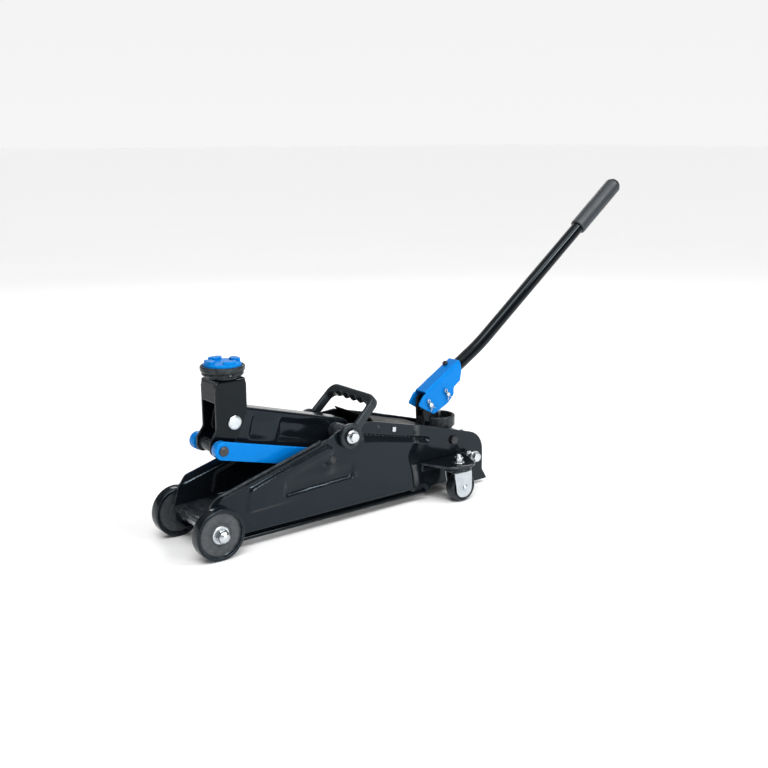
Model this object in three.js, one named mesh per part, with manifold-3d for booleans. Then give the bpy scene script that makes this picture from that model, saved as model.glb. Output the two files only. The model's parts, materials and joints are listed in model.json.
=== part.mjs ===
// Hydraulic floor jack: a compact two-ton trolley jack with a swivelling pump handle.
// Millimetres. +X runs from the front axle towards the handle, +Z is up, and -Y is the left side
// of someone who stands at the handle. While the jack is built, X = 0 lies on the front axle.
import * as THREE from "three";
import { mergeVertices } from "three/addons/utils/BufferGeometryUtils.js";
import Module from "manifold-3d";

const wasm = await Module();
wasm.setup();

const { degToRad, clamp } = THREE.MathUtils;

// ---- Driving dimensions ----
const WHEELBASE = 375;
const FRONT_WHEEL = { radius: 32.8, width: 16, face: 61.3 };
const AXLE_RADIUS = 6.5;
const SHEET = 3;
const HALF_WIDTH = 44; // outer face of a side plate, front part
const BOSS = { radius: 13, height: 1 }; // raised ring on a side plate round the main pivot
const REAR_HALF_WIDTH = 38; // outer face of a side plate behind its joggle
const JOGGLE = { from: 313, to: 331 };
const PIVOT = { x: 202.3, z: 118.9 };
const ARM_LENGTH = 159.5;
const ARM_REST = 13.8; // degrees above the horizontal
const ARM_HALF_WIDTH = 14.5;
const LINK_OFFSET = { x: -25.1, z: -28.8 }; // link pin below the saddle pin, and so on the frame too
const LINK = { radius: 11.5, boss: 22.5, inner: 29.5, outer: 33.5, pin: 5 };
const CRANK = 48; // main pivot to ram pin
const CRANK_REST = -7.2; // degrees of the ram pin from straight below the pivot
const RAM = { z: 74.8, radius: 9 };
const SADDLE = { radius: 28, rim: 228, top: 235 };
const SWIVEL = { x: 396.5, radius: 24.7, low: 91, high: 106.6 };
const SOCKET_PIN = { x: 369.5, z: 127.5, radius: 3.5 };
const PLUNGER_PIN = { x: 401.5, z: 138.8, radius: 3 };
const HANDLE_MOUTH = { x: 432.5, z: 174.5 };
const HANDLE = { radius: 9.5, lower: 31, upper: 38, bend: 50.5, gripAt: 312, end: 420, grip: 12.5 };
const BAIL = { rest: 46, top: 64, hub: 17, inner: 45.4, outer: 52.4 };
const CASTER = { radius: 21.2, width: 16, y: 74, trail: 4 };
const HEX = 6;
const SIDES_OF_ROD = 12;

// ---- Colours ----
const material = (color, roughness, metalness) =>
  new THREE.MeshStandardMaterial({ color, roughness, metalness });
const BLACK_PAINT = () => material(0x15181b, 0.28, 0.1);
const BLUE_PAINT = () => material(0x1590e6, 0.32, 0.1);
const ZINC = () => material(0xbfc8cf, 0.3, 1);
const STEEL = () => material(0x8d9196, 0.35, 1);
const DARK_STEEL = () => material(0x3a3d40, 0.45, 0.9);
const WHEEL_IRON = () => material(0x33383c, 0.6, 0.3);
const RUBBER = () => material(0x2d3237, 0.8, 0);
const BLACK_PLASTIC = () => material(0x131415, 0.55, 0);
const BLUE_PAD = () => material(0x2a9df4, 0.5, 0);

// ---- Shape helpers ----
const at = (x, y) => new THREE.Vector2(x, y);

// A closed outline whose corners are [x, y, radius], each rounded to its radius.
function rounded(corners, steps = 2) {
  const outline = [];
  corners.forEach(([x, y, radius = 0], i) => {
    const corner = at(x, y);
    if (!radius) {
      outline.push(corner);
      return;
    }
    const back = at(...corners.at(i - 1)).sub(corner).normalize();
    const ahead = at(...corners[(i + 1) % corners.length]).sub(corner).normalize();
    const half = Math.acos(clamp(back.dot(ahead), -1, 1)) / 2;
    const reach = radius / Math.tan(half);
    const inward = back.clone().add(ahead).normalize();
    const centre = corner.clone().addScaledVector(inward, radius / Math.sin(half));
    const from = corner.clone().addScaledVector(back, reach).sub(centre);
    const to = corner.clone().addScaledVector(ahead, reach).sub(centre);
    const sweep = Math.atan2(from.cross(to), from.dot(to));
    for (let k = 0; k <= steps; k++) {
      outline.push(from.clone().rotateAround(at(0, 0), (sweep * k) / steps).add(centre));
    }
  });
  return outline;
}

const slab = (outline, depth) =>
  new THREE.ExtrudeGeometry(new THREE.Shape(outline), { depth, bevelEnabled: false });

// An outline in X and Z, as thick as from y0 to y1.
function upright(outline, y0, y1) {
  return slab(outline, y1 - y0).rotateX(Math.PI / 2).translate(0, y1, 0);
}

// An outline in X and Y, from height z0 to z1.
function level(outline, z0, z1) {
  return slab(outline, z1 - z0).translate(0, 0, z0);
}

// A section in Y and Z, run along X from x0 to x1.
function along(outline, x0, x1) {
  const turn = new THREE.Matrix4().makeBasis(
    new THREE.Vector3(0, 1, 0),
    new THREE.Vector3(0, 0, 1),
    new THREE.Vector3(1, 0, 0),
  );
  return slab(outline, x1 - x0).applyMatrix4(turn).translate(x0, 0, 0);
}

const box = (x0, x1, y0, y1, z0, z1) =>
  new THREE.BoxGeometry(x1 - x0, y1 - y0, z1 - z0)
    .translate((x0 + x1) / 2, (y0 + y1) / 2, (z0 + z1) / 2);

const TURN = {
  x: (geometry) => geometry.rotateZ(-Math.PI / 2),
  y: (geometry) => geometry,
  z: (geometry) => geometry.rotateX(Math.PI / 2),
};

// A turned piece: the profile holds [radius, place along the axis] from its low end up its outside.
function turned(profile, axis, [x, y, z], sides = 20) {
  const points = profile.map(([radius, place]) => at(radius, place));
  return TURN[axis](new THREE.LatheGeometry(points, sides)).translate(x, y, z);
}

// A round or hexagonal rod from one place to another along an axis, centred on the other two.
function rod(radius, axis, from, to, centre, sides = SIDES_OF_ROD) {
  return turned([[0, from], [radius, from], [radius, to], [0, to]], axis, centre, sides);
}

// The radius of a faceted hole that a faceted rod of some radius turns in freely.
const running = (radius) => (radius + 0.12) / Math.cos(Math.PI / SIDES_OF_ROD);

// A ring with a bore.
function ring(bore, radius, axis, from, to, centre, sides = SIDES_OF_ROD) {
  const profile = [[bore, from], [radius, from], [radius, to], [bore, to], [bore, from]];
  return turned(profile, axis, centre, sides);
}

// A wire along a smooth line through the points.
function wire(points, radius, steps, sides = 4) {
  const path = new THREE.CatmullRomCurve3(points.map((p) => new THREE.Vector3(...p)));
  const section = new THREE.Shape();
  section.absarc(0, 0, radius, 0, 2 * Math.PI);
  const options = { steps, curveSegments: sides / 2, extrudePath: path };
  return new THREE.ExtrudeGeometry(section, options);
}

function solid(geometry) {
  const bare = new THREE.BufferGeometry();
  bare.setAttribute("position", geometry.getAttribute("position"));
  bare.setIndex(geometry.index);
  const merged = mergeVertices(bare, 1e-4);
  const mesh = new wasm.Mesh({
    numProp: 3,
    vertProperties: merged.attributes.position.array,
    triVerts: new Uint32Array(merged.index.array),
  });
  return new wasm.Manifold(mesh);
}

const joined = (...pieces) => pieces.map(solid).reduce((whole, piece) => whole.add(piece));
const cut = (whole, ...tools) => tools.map(solid).reduce((rest, tool) => rest.subtract(tool), whole);

function geometryOf(made) {
  const mesh = made.getMesh();
  const geometry = new THREE.BufferGeometry();
  geometry.setAttribute("position", new THREE.BufferAttribute(mesh.vertProperties, 3));
  geometry.setIndex(new THREE.BufferAttribute(mesh.triVerts, 1));
  geometry.computeVertexNormals();
  return geometry;
}

const jack = new THREE.Group();

// Adds one named piece; the shape is a geometry or the result of joining and cutting.
function piece(name, finish, shape, parent = jack) {
  const geometry = shape.isBufferGeometry ? shape : geometryOf(shape);
  const mesh = new THREE.Mesh(geometry, finish());
  mesh.name = name;
  parent.add(mesh);
  return mesh;
}

// A frame turned about Y so that a lever raised by some degrees can be drawn lying level.
function leverFrame({ x, z }, degrees) {
  const frame = new THREE.Group();
  frame.position.set(x, 0, z);
  frame.rotation.y = degToRad(degrees);
  jack.add(frame);
  return frame;
}

const SIDES = [
  ["left", -1],
  ["right", 1],
];
// A span across Y that lies on one side of the middle, given for the right side.
const span = (side, inner, outer) => (side > 0 ? [inner, outer] : [-outer, -inner]);

// ---- Places worked out from the driving dimensions ----
const armTip = new THREE.Vector2(-ARM_LENGTH, 0).rotateAround(at(0, 0), -degToRad(ARM_REST));
const SADDLE_PIN = { x: PIVOT.x + armTip.x, z: PIVOT.z + ARM_LENGTH * Math.sin(degToRad(ARM_REST)) };
const LINK_FRONT = { x: SADDLE_PIN.x + LINK_OFFSET.x, z: SADDLE_PIN.z + LINK_OFFSET.z };
const LINK_REAR = { x: PIVOT.x + LINK_OFFSET.x, z: PIVOT.z + LINK_OFFSET.z };
const RAM_PIN = {
  x: PIVOT.x - CRANK * Math.sin(degToRad(CRANK_REST)),
  z: PIVOT.z - CRANK * Math.cos(degToRad(CRANK_REST)),
};

const PIVOT_AT = [PIVOT.x, 0, PIVOT.z];
const bossFace = HALF_WIDTH + BOSS.height;

// ---- Frame: side plates ----
const FLANGE = { from: 16, to: 162, z: 75, slope: 0.285 };
const flangeZ = (x) => FLANGE.z + FLANGE.slope * (x - FLANGE.from);

const sideOutline = rounded([
  [-4, 69, 4],
  [-10, 46, 6],
  [-10, 26, 9],
  [6, 9.5, 6],
  [345, 9.5, 3],
  [353, 17, 2],
  [376, 16],
  [436, 6],
  [461, 6],
  [451, 22, 8],
  [450.5, 76.5, 32],
  [336, 108],
  [241, 131.5, 10],
  [188, 127.5, 8],
  [FLANGE.to, flangeZ(FLANGE.to)],
  [FLANGE.from, FLANGE.z],
]);
// The plate seen from above: straight, stepped in towards the middle by the joggle, straight again.
const platePlan = (side) =>
  [
    [-20, HALF_WIDTH],
    [JOGGLE.from, HALF_WIDTH],
    [JOGGLE.to, REAR_HALF_WIDTH],
    [470, REAR_HALF_WIDTH],
    [470, REAR_HALF_WIDTH - SHEET],
    [JOGGLE.to - 1, REAR_HALF_WIDTH - SHEET],
    [JOGGLE.from - 1, HALF_WIDTH - SHEET],
    [-20, HALF_WIDTH - SHEET],
  ].map(([x, y]) => at(x, side * y));
const CREASE = 20.7; // below this height the plate leans inwards
const skirt = (side) =>
  [
    [HALF_WIDTH, CREASE],
    [HALF_WIDTH - 5, 9.5],
    [HALF_WIDTH - 5 - SHEET, 9.5],
    [HALF_WIDTH - SHEET, CREASE],
    [HALF_WIDTH - SHEET, CREASE + 1],
    [HALF_WIDTH, CREASE + 1],
  ].map(([y, z]) => at(side * y, z));
// The flange along the sloping front edge leans outwards.
const flangeSection = (side) =>
  [
    [HALF_WIDTH - SHEET, -3],
    [HALF_WIDTH, -4],
    [HALF_WIDTH + 7, 5],
    [HALF_WIDTH + 5.4, 6.8],
  ].map(([y, z]) => at(side * y, z));
function sloped(geometry) {
  const shear = new THREE.Matrix4().set(
    1, 0, 0, 0,
    0, 1, 0, 0,
    FLANGE.slope, 0, 1, FLANGE.z - FLANGE.slope * FLANGE.from,
    0, 0, 0, 1,
  );
  return geometry.applyMatrix4(shear);
}
const panelOutline = rounded([
  [44, 46, 8],
  [50, 76, 8],
  [172, 112, 10],
  [190, 62, 20],
]);
const beadOutline = rounded([
  [102, 53, 3],
  [108, 62, 3],
  [211, 62, 3],
  [211, 53, 3],
]);

for (const [name, side] of SIDES) {
  const foot = level(platePlan(side), 4, 34);
  const body = joined(level(platePlan(side), CREASE, 140), along(skirt(side), -20, 340))
    .add(solid(foot).intersect(solid(box(338, 470, -60, 60, 0, 40))))
    .intersect(solid(upright(sideOutline, -60, 60)));
  const trim = joined(
    sloped(along(flangeSection(side), FLANGE.from, FLANGE.to)),
    upright(panelOutline, ...span(side, HALF_WIDTH - 1, HALF_WIDTH + 1.5)),
    rod(BOSS.radius, "y", ...span(side, HALF_WIDTH - 1, bossFace), PIVOT_AT, 24),
  );
  const bead = upright(beadOutline, ...span(side, HALF_WIDTH, HALF_WIDTH + 3));
  const holes = [
    [8.2, PIVOT.x, PIVOT.z],
    [LINK.pin + 0.1, LINK_REAR.x, LINK_REAR.z],
    [AXLE_RADIUS + 0.1, 0, FRONT_WHEEL.radius],
    [5.1, 392.5, 77],
    [3.1, 416, 52.3],
  ].map(([radius, x, z]) => rod(radius, "y", -60, 60, [x, 0, z]));
  const plate = cut(body.add(trim).add(solid(bead)), ...holes);
  piece(`side_plate_${name}`, BLACK_PAINT, plate);
}

// ---- Frame: cross plates and cover ----
const crossSection = rounded([
  [-10, 44.5, 2.5],
  [41, 44.5, 2.5],
  [41, 34],
  [38.5, 34],
  [38.5, 41.7, 1],
  [-7.5, 41.7, 1],
  [-7.5, 39.8],
  [-10, 39.8],
]);
const plateInner = HALF_WIDTH - SHEET;
const rearInner = REAR_HALF_WIDTH - SHEET;
piece("front_cross_plate", BLACK_PAINT, upright(crossSection, -plateInner, plateInner));

const VALVE = { x: 440, z: 58 };
const rearPlate = cut(
  joined(
    box(443, 446, -rearInner, rearInner, 9, 72),
    box(430, 446, -rearInner, rearInner, 9, 12),
  ),
  rod(9, "x", 440, 450, [0, 0, VALVE.z]),
);
piece("rear_cross_plate", BLACK_PAINT, rearPlate);

// The cover lies a little below the side plates' top edges, with a turned-up front lip.
const COVER = { front: 246, rear: 356, z: 126.6, slope: -0.253 };
const coverZ = (x) => COVER.z + COVER.slope * (x - COVER.front);
const coverSide = [
  at(COVER.front - 4, COVER.z + 4),
  at(COVER.front - 2, COVER.z + 4.8),
  at(COVER.front + 4, coverZ(COVER.front + 4)),
  at(COVER.rear, coverZ(COVER.rear)),
  at(COVER.rear, coverZ(COVER.rear) - 2),
  at(COVER.front + 3, coverZ(COVER.front + 3) - 2),
];
const coverPlan = [
  [COVER.front - 5, plateInner],
  [JOGGLE.from - 2, plateInner],
  [JOGGLE.to - 2, rearInner],
  [COVER.rear, rearInner],
];
const coverTop = [...coverPlan, ...coverPlan.toReversed().map(([x, y]) => [x, -y])];
const cover = solid(upright(coverSide, -50, 50))
  .intersect(solid(level(coverTop.map(([x, y]) => at(x, y)), 80, 150)));
piece("cover_plate", BLACK_PAINT, cover);

// ---- Frame: front axle, its nuts and its wheels ----
const AXLE = [0, 0, FRONT_WHEEL.radius];
const axleEnd = FRONT_WHEEL.face + 13;
piece("front_axle", STEEL, rod(AXLE_RADIUS, "y", -axleEnd, axleEnd, AXLE));
// The wheel is dished: a raised rim, a flat web and a sunk hub on both faces.
function frontWheelProfile() {
  const { radius: R, width } = FRONT_WHEEL;
  const half = width / 2;
  return [
    [AXLE_RADIUS + 0.15, -half + 4],
    [R - 6, -half + 4],
    [R - 4.5, -half],
    [R, -half],
    [R, half],
    [R - 4.5, half],
    [R - 6, half - 4],
    [AXLE_RADIUS + 0.15, half - 4],
    [AXLE_RADIUS + 0.15, -half + 4],
  ];
}
for (const [name, side] of SIDES) {
  const middle = side * (FRONT_WHEEL.face - FRONT_WHEEL.width / 2);
  const wheel = turned(frontWheelProfile(), "y", [0, middle, FRONT_WHEEL.radius], 36);
  piece(`front_wheel_${name}`, WHEEL_IRON, wheel);
  const hub = FRONT_WHEEL.face - 4 + 0.2;
  const washer = ring(AXLE_RADIUS + 0.15, 11.5, "y", ...span(side, hub, hub + 2), AXLE);
  piece(`axle_washer_${name}`, ZINC, washer);
  const nut = cut(
    solid(rod(8.6, "y", ...span(side, hub + 2.1, hub + 11), AXLE, HEX)),
    rod(AXLE_RADIUS + 0.15, "y", -90, 90, AXLE),
  );
  piece(`axle_nut_${name}`, ZINC, nut);
}

// ---- Frame: main pivot ----
const pivotShaft = cut(
  solid(rod(8, "y", -bossFace, bossFace, PIVOT_AT)),
  rod(4.2, "y", -bossFace - 1, -bossFace + 26, PIVOT_AT),
  rod(4.2, "y", bossFace - 26, bossFace + 1, PIVOT_AT),
);
piece("pivot_shaft", STEEL, pivotShaft);
const boltHead = BAIL.outer + 0.6;
for (const [name, side] of SIDES) {
  const bolt = joined(
    rod(4, "y", ...span(side, bossFace - 20, boltHead + 1), PIVOT_AT),
    rod(9.5, "y", ...span(side, boltHead, boltHead + 3.5), PIVOT_AT, 20),
    rod(7.5, "y", ...span(side, boltHead + 3, boltHead + 11), PIVOT_AT, HEX),
  );
  piece(`pivot_bolt_${name}`, ZINC, bolt);
  const pinAt = [LINK_REAR.x, 0, LINK_REAR.z];
  const linkPin = joined(
    rod(LINK.pin, "y", ...span(side, LINK.inner - 3, HALF_WIDTH + 1), pinAt),
    rod(8, "y", ...span(side, LINK.outer + 0.4, plateInner - 0.1), pinAt),
    rod(7.5, "y", ...span(side, LINK.inner - 3, LINK.inner - 0.4), pinAt),
  );
  piece(`link_rear_pin_${name}`, DARK_STEEL, linkPin);
}

// ---- Hydraulic unit ----
const SPRING = { z: 46, y: 15, radius: 4.2, wire: 0.9, turns: 8, rear: 360, front: 212 };
const TUBE = { from: 252, to: 366, radius: 22 };
const RAM_AXIS = [0, 0, RAM.z];
const cylinder = cut(
  joined(
    rod(TUBE.radius, "x", TUBE.from + 10, TUBE.to, RAM_AXIS, 24),
    rod(15, "x", TUBE.from, TUBE.from + 11, RAM_AXIS, 24),
  ),
  rod(RAM.radius + 0.15, "x", TUBE.from - 1, 346, RAM_AXIS),
);
piece("oil_cylinder", BLACK_PAINT, cylinder);

const barrelTop = 97;
const PLUNGER_AT = [SWIVEL.x, 0, 0];
const PLUG_AT = [430, -14, 0];
const pumpBlock = cut(
  joined(
    box(TUBE.to, 417, -26, 26, 42, 84),
    box(416, 438, -26, 26, 42, 68),
    rod(21, "z", 80, SWIVEL.low - 0.4, PLUNGER_AT, 28),
    rod(8, "z", 80, barrelTop, PLUNGER_AT),
    rod(11, "y", -rearInner, rearInner, [392.5, 0, 77]),
    box(356, TUBE.to + 1, -5, 5, 42, 50),
    rod(2.5, "y", -20, 20, [SPRING.rear, 0, SPRING.z], 16),
  ),
  rod(running(4), "z", 46, 100, PLUNGER_AT),
  rod(5.1, "y", -50, -20, [392.5, 0, 77]),
  rod(5.1, "y", 20, 50, [392.5, 0, 77]),
  rod(running(5), "x", 424, 440, [0, 0, VALVE.z]),
  rod(4.2, "z", 58, 90, PLUG_AT),
);
piece("pump_block", BLACK_PAINT, pumpBlock);
const plug = joined(
  rod(4, "z", 60, 69, PLUG_AT, 16),
  rod(6, "z", 68.3, 74, PLUG_AT, 20),
  rod(3.5, "z", 73.5, 80, PLUG_AT, 16),
);
piece("filler_plug", RUBBER, plug);
for (const [name, side] of SIDES) {
  const trunnion = joined(
    rod(5, "y", ...span(side, 24, REAR_HALF_WIDTH + 1), [392.5, 0, 77]),
    rod(6.4, "y", ...span(side, REAR_HALF_WIDTH + 0.3, REAR_HALF_WIDTH + 4), [392.5, 0, 77], HEX),
  );
  piece(`trunnion_bolt_${name}`, DARK_STEEL, trunnion);
}
const VALVE_AT = [0, 0, VALVE.z];
const valve = cut(
  joined(
    rod(5, "x", 426, 443, VALVE_AT),
    rod(7.5, "x", 441, 456, VALVE_AT, 20),
  ),
  box(450, 458, -1.4, 1.4, VALVE.z - 9, VALVE.z + 9),
);
piece("release_valve", ZINC, valve);

// ---- Ram, its slotted head and the two return springs ----
// The head is slotted upright, because the ram pin swings on an arc while the ram runs straight.
const slotHalf = 3.9;
const slotWidth = 5.75;
const slotOutline = rounded([
  [RAM_PIN.x - slotWidth, RAM.z - slotHalf - 6, 5.7],
  [RAM_PIN.x + slotWidth, RAM.z - slotHalf - 6, 5.7],
  [RAM_PIN.x + slotWidth, RAM.z + slotHalf + 6, 5.7],
  [RAM_PIN.x - slotWidth, RAM.z + slotHalf + 6, 5.7],
]);
const headOutline = rounded([
  [196, RAM.z - 15, 4],
  [226, RAM.z - 15, 4],
  [226, RAM.z + 15, 4],
  [196, RAM.z + 15, 4],
]);
const ramHead = cut(
  joined(
    upright(headOutline, -9, 9),
    box(SPRING.front - 4, SPRING.front + 4, -5, 5, SPRING.z - 4, RAM.z - 12),
    rod(2.5, "y", -20, 20, [SPRING.front, 0, SPRING.z], 16),
  ),
  upright(slotOutline, -30, 30),
  rod(6.1, "x", 218, 230, RAM_AXIS),
);
piece("ram_head", DARK_STEEL, ramHead);
const ram = joined(
  rod(RAM.radius, "x", 226.2, 322, RAM_AXIS),
  rod(6, "x", 218.2, 230, RAM_AXIS),
);
piece("ram", STEEL, ram);
piece("ram_pin", STEEL, rod(5, "y", -ARM_HALF_WIDTH, ARM_HALF_WIDTH, [RAM_PIN.x, 0, RAM_PIN.z]));

// A close coil between two hooks, each bent round its cross rod.
function springPath(y) {
  const { z, radius, rear, front, turns } = SPRING;
  const hook = 4.2;
  const points = [];
  for (const t of [-40, -90, -135, -180, -225, -270]) {
    const a = degToRad(t);
    points.push([front + hook * Math.cos(a), y, z + hook * Math.sin(a)]);
  }
  const from = front + 12;
  const to = rear - 12;
  const stepsPerTurn = 8;
  const steps = turns * stepsPerTurn;
  for (let k = 0; k <= steps; k++) {
    const a = (2 * Math.PI * k) / stepsPerTurn;
    points.push([from + ((to - from) * k) / steps, y + radius * Math.sin(a), z + radius * Math.cos(a)]);
  }
  for (const t of [90, 45, 0, -45, -90, -140]) {
    const a = degToRad(t);
    points.push([rear + hook * Math.cos(a), y, z + hook * Math.sin(a)]);
  }
  return points;
}
for (const [name, side] of SIDES) {
  const coil = wire(springPath(side * SPRING.y), SPRING.wire, 84);
  piece(`return_spring_${name}`, STEEL, coil);
}

// ---- Lift arm: an inverted channel drawn level, its pivot at the origin ----
const arm = leverFrame(PIVOT, ARM_REST);
const crankLocal = at(RAM_PIN.x - PIVOT.x, RAM_PIN.z - PIVOT.z)
  .rotateAround(at(0, 0), degToRad(ARM_REST));
const armOutline = rounded([
  [-ARM_LENGTH - 14, 14, 10],
  [-ARM_LENGTH - 14, -14, 13],
  [-146, -25.5, 8],
  [-72, -28, 20],
  [crankLocal.x - 15, crankLocal.y - 7, 10],
  [crankLocal.x + 9, crankLocal.y - 12, 10],
  [21, -8, 14],
  [19, 17, 14],
  [-144, 20, 10],
]);
const channel = [at(-ARM_LENGTH - 40, -80), at(-13, -80), at(-13, 14.4), at(-ARM_LENGTH - 40, 17.1)];
const armInner = ARM_HALF_WIDTH - SHEET;
const crossTube = plateInner - 0.8;
const armShell = cut(
  solid(upright(armOutline, -ARM_HALF_WIDTH, ARM_HALF_WIDTH)),
  upright(channel, -armInner, armInner),
  box(-14, 40, -armInner, armInner, -80, 40),
);
const liftArm = cut(
  armShell.add(solid(rod(12, "y", -crossTube, crossTube, [0, 0, 0]))),
  rod(running(8), "y", -60, 60, [0, 0, 0]),
  rod(running(6), "y", -30, 30, [-ARM_LENGTH, 0, 0]),
  rod(running(5), "y", -30, 30, [crankLocal.x, 0, crankLocal.y]),
);
piece("lift_arm", BLACK_PAINT, liftArm, arm);

// ---- Saddle bracket: an inverted U on the arm's tip, kept upright by the links ----
const BRACKET = { outer: 18, front: 22, rear: 66, top: 212, lip: 184 };
const cheek = rounded([
  [BRACKET.front, BRACKET.top, 3],
  [BRACKET.front, 150, 8],
  [LINK_FRONT.x - 9.5, LINK_FRONT.z + 9, 4],
  [LINK_FRONT.x - 10.5, LINK_FRONT.z - 10.5, 9.5],
  [LINK_FRONT.x + 10, LINK_FRONT.z - 10.5, 9],
  [BRACKET.rear - 12, 139.5, 8],
  [BRACKET.rear, 167, 4],
  [BRACKET.rear, BRACKET.top, 3],
]);
const bracketInner = BRACKET.outer - SHEET;
const SPACER = 7.5; // outer radius of the tube that keeps the links apart
const bracketHollow = [
  at(BRACKET.front - 10, 100),
  at(BRACKET.rear + 10, 100),
  at(BRACKET.rear + 10, BRACKET.top - SHEET),
  at(BRACKET.front + SHEET, BRACKET.top - SHEET),
  at(BRACKET.front + SHEET, BRACKET.lip),
  at(BRACKET.front - 10, BRACKET.lip),
];
const saddleAt = [43.5, 0, 0];
const bracket = cut(
  solid(upright(cheek, -BRACKET.outer, BRACKET.outer)),
  upright(bracketHollow, -bracketInner, bracketInner),
  rod(6.1, "y", -40, 40, [SADDLE_PIN.x, 0, SADDLE_PIN.z]),
  rod(SPACER + 0.1, "y", -40, 40, [LINK_FRONT.x, 0, LINK_FRONT.z]),
  rod(running(9), "z", 198, 215, saddleAt),
);
piece("saddle_bracket", BLACK_PAINT, bracket);
const saddlePinAt = [SADDLE_PIN.x, 0, SADDLE_PIN.z];
const saddlePin = joined(
  rod(6, "y", -BRACKET.outer - 1, BRACKET.outer + 1, saddlePinAt),
  rod(9.3, "y", BRACKET.outer + 0.1, BRACKET.outer + 2.6, saddlePinAt, 20),
  rod(9.3, "y", -BRACKET.outer - 2.6, -BRACKET.outer - 0.1, saddlePinAt, 20),
);
piece("saddle_pin", ZINC, saddlePin);
const linkFrontAt = [LINK_FRONT.x, 0, LINK_FRONT.z];
const linkSpan = LINK.outer + 0.4;
const linkPinFront = joined(
  rod(LINK.pin, "y", -linkSpan - 0.5, linkSpan + 0.5, linkFrontAt),
  rod(6.2, "y", linkSpan, linkSpan + 2.2, linkFrontAt),
  rod(6.2, "y", -linkSpan - 2.2, -linkSpan, linkFrontAt),
);
piece("link_front_pin", DARK_STEEL, linkPinFront);
const spacerEnd = LINK.boss - 0.3;
const spacer = ring(LINK.pin + 0.1, SPACER, "y", -spacerEnd, spacerEnd, linkFrontAt);
piece("link_spacer", BLACK_PAINT, spacer);

// ---- Links: flat bars with round ends ----
const links = leverFrame(LINK_REAR, ARM_REST);
const linkOutline = rounded(
  [
    [-ARM_LENGTH - LINK.radius, LINK.radius, LINK.radius - 0.01],
    [-ARM_LENGTH - LINK.radius, -LINK.radius, LINK.radius - 0.01],
    [LINK.radius, -LINK.radius, LINK.radius - 0.01],
    [LINK.radius, LINK.radius, LINK.radius - 0.01],
  ],
  6,
);
for (const [name, side] of SIDES) {
  const bar = cut(
    joined(
      upright(linkOutline, ...span(side, LINK.inner, LINK.outer)),
      rod(LINK.radius, "y", ...span(side, LINK.boss, LINK.inner + 1), [-ARM_LENGTH, 0, 0], 24),
    ),
    rod(running(LINK.pin), "y", -60, 60, [0, 0, 0]),
    rod(running(LINK.pin), "y", -60, 60, [-ARM_LENGTH, 0, 0]),
  );
  piece(`link_${name}`, BLUE_PAINT, bar, links);
}

// ---- Saddle: a cup on a stem, with a lugged pad in it ----
const cupLow = BRACKET.top + 0.3;
const cup = turned(
  [
    [0, 196],
    [9, 196],
    [9, cupLow],
    [21, cupLow],
    [21, SADDLE.rim - 12.6],
    [25.5, SADDLE.rim - 12.2],
    [26.5, SADDLE.rim - 10.5],
    [26, SADDLE.rim - 8.6],
    [SADDLE.radius - 0.8, SADDLE.rim - 7.6],
    [SADDLE.radius, SADDLE.rim - 6],
    [SADDLE.radius, SADDLE.rim - 1.5],
    [SADDLE.radius - 1.5, SADDLE.rim],
    [SADDLE.radius - 3.4, SADDLE.rim - 1],
    [SADDLE.radius - 3.8, SADDLE.rim - 6],
    [0, SADDLE.rim - 6],
  ],
  "z",
  saddleAt,
  28,
);
piece("saddle_cup", BLACK_PAINT, cup);
const padLow = SADDLE.rim - 5.8;
const padBase = SADDLE.top - 3.4;
const padProfile = [[0, padLow], [23.5, padLow], [23.8, padBase - 2], [22, padBase], [0, padBase]];
const lug = rounded([
  [11, -7.5, 2],
  [22.4, -8.5, 4],
  [22.4, 8.5, 4],
  [11, 7.5, 2],
]);
const lugs = [0, 90, 180, 270].map((turn) =>
  level(lug, padBase - 1, SADDLE.top).rotateZ(degToRad(turn)).translate(...saddleAt),
);
piece("saddle_pad", BLUE_PAD, joined(turned(padProfile, "z", saddleAt, 28), ...lugs));

// ---- Carrying handle: a bail with a scalloped grip, drawn upright over the pivot ----
const bail = leverFrame(PIVOT, BAIL.rest);
const SCALLOP = { count: 4, pitch: 16, radius: 10 };
const barLow = BAIL.top - 13;
const bailOuter = rounded([
  [-BAIL.outer, 0],
  [BAIL.outer, 0],
  [BAIL.outer - 3, BAIL.top, 14],
  [-BAIL.outer + 3, BAIL.top, 14],
]);
const bailInner = rounded([
  [-BAIL.inner, -20],
  [BAIL.inner, -20],
  [BAIL.inner, 20],
  [BAIL.inner - 1.1, barLow, 8],
  [-BAIL.inner + 1.1, barLow, 8],
  [-BAIL.inner, 20],
]);
const scallops = [];
for (let k = 0; k < SCALLOP.count; k++) {
  const y = (k - (SCALLOP.count - 1) / 2) * SCALLOP.pitch;
  scallops.push(rod(SCALLOP.radius, "x", -20, 20, [0, y, barLow - 6], 14));
}
const bailBody = cut(
  joined(
    along(bailOuter, -6.5, 6.5),
    rod(BAIL.hub, "y", BAIL.inner, BAIL.outer, [0, 0, 0], 24),
    rod(BAIL.hub, "y", -BAIL.outer, -BAIL.inner, [0, 0, 0], 24),
  ),
  along(bailInner, -20, 20),
  ...scallops,
  rod(running(4), "y", -70, 70, [0, 0, 0]),
);
piece("carry_handle", BLACK_PLASTIC, bailBody, bail);

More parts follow.
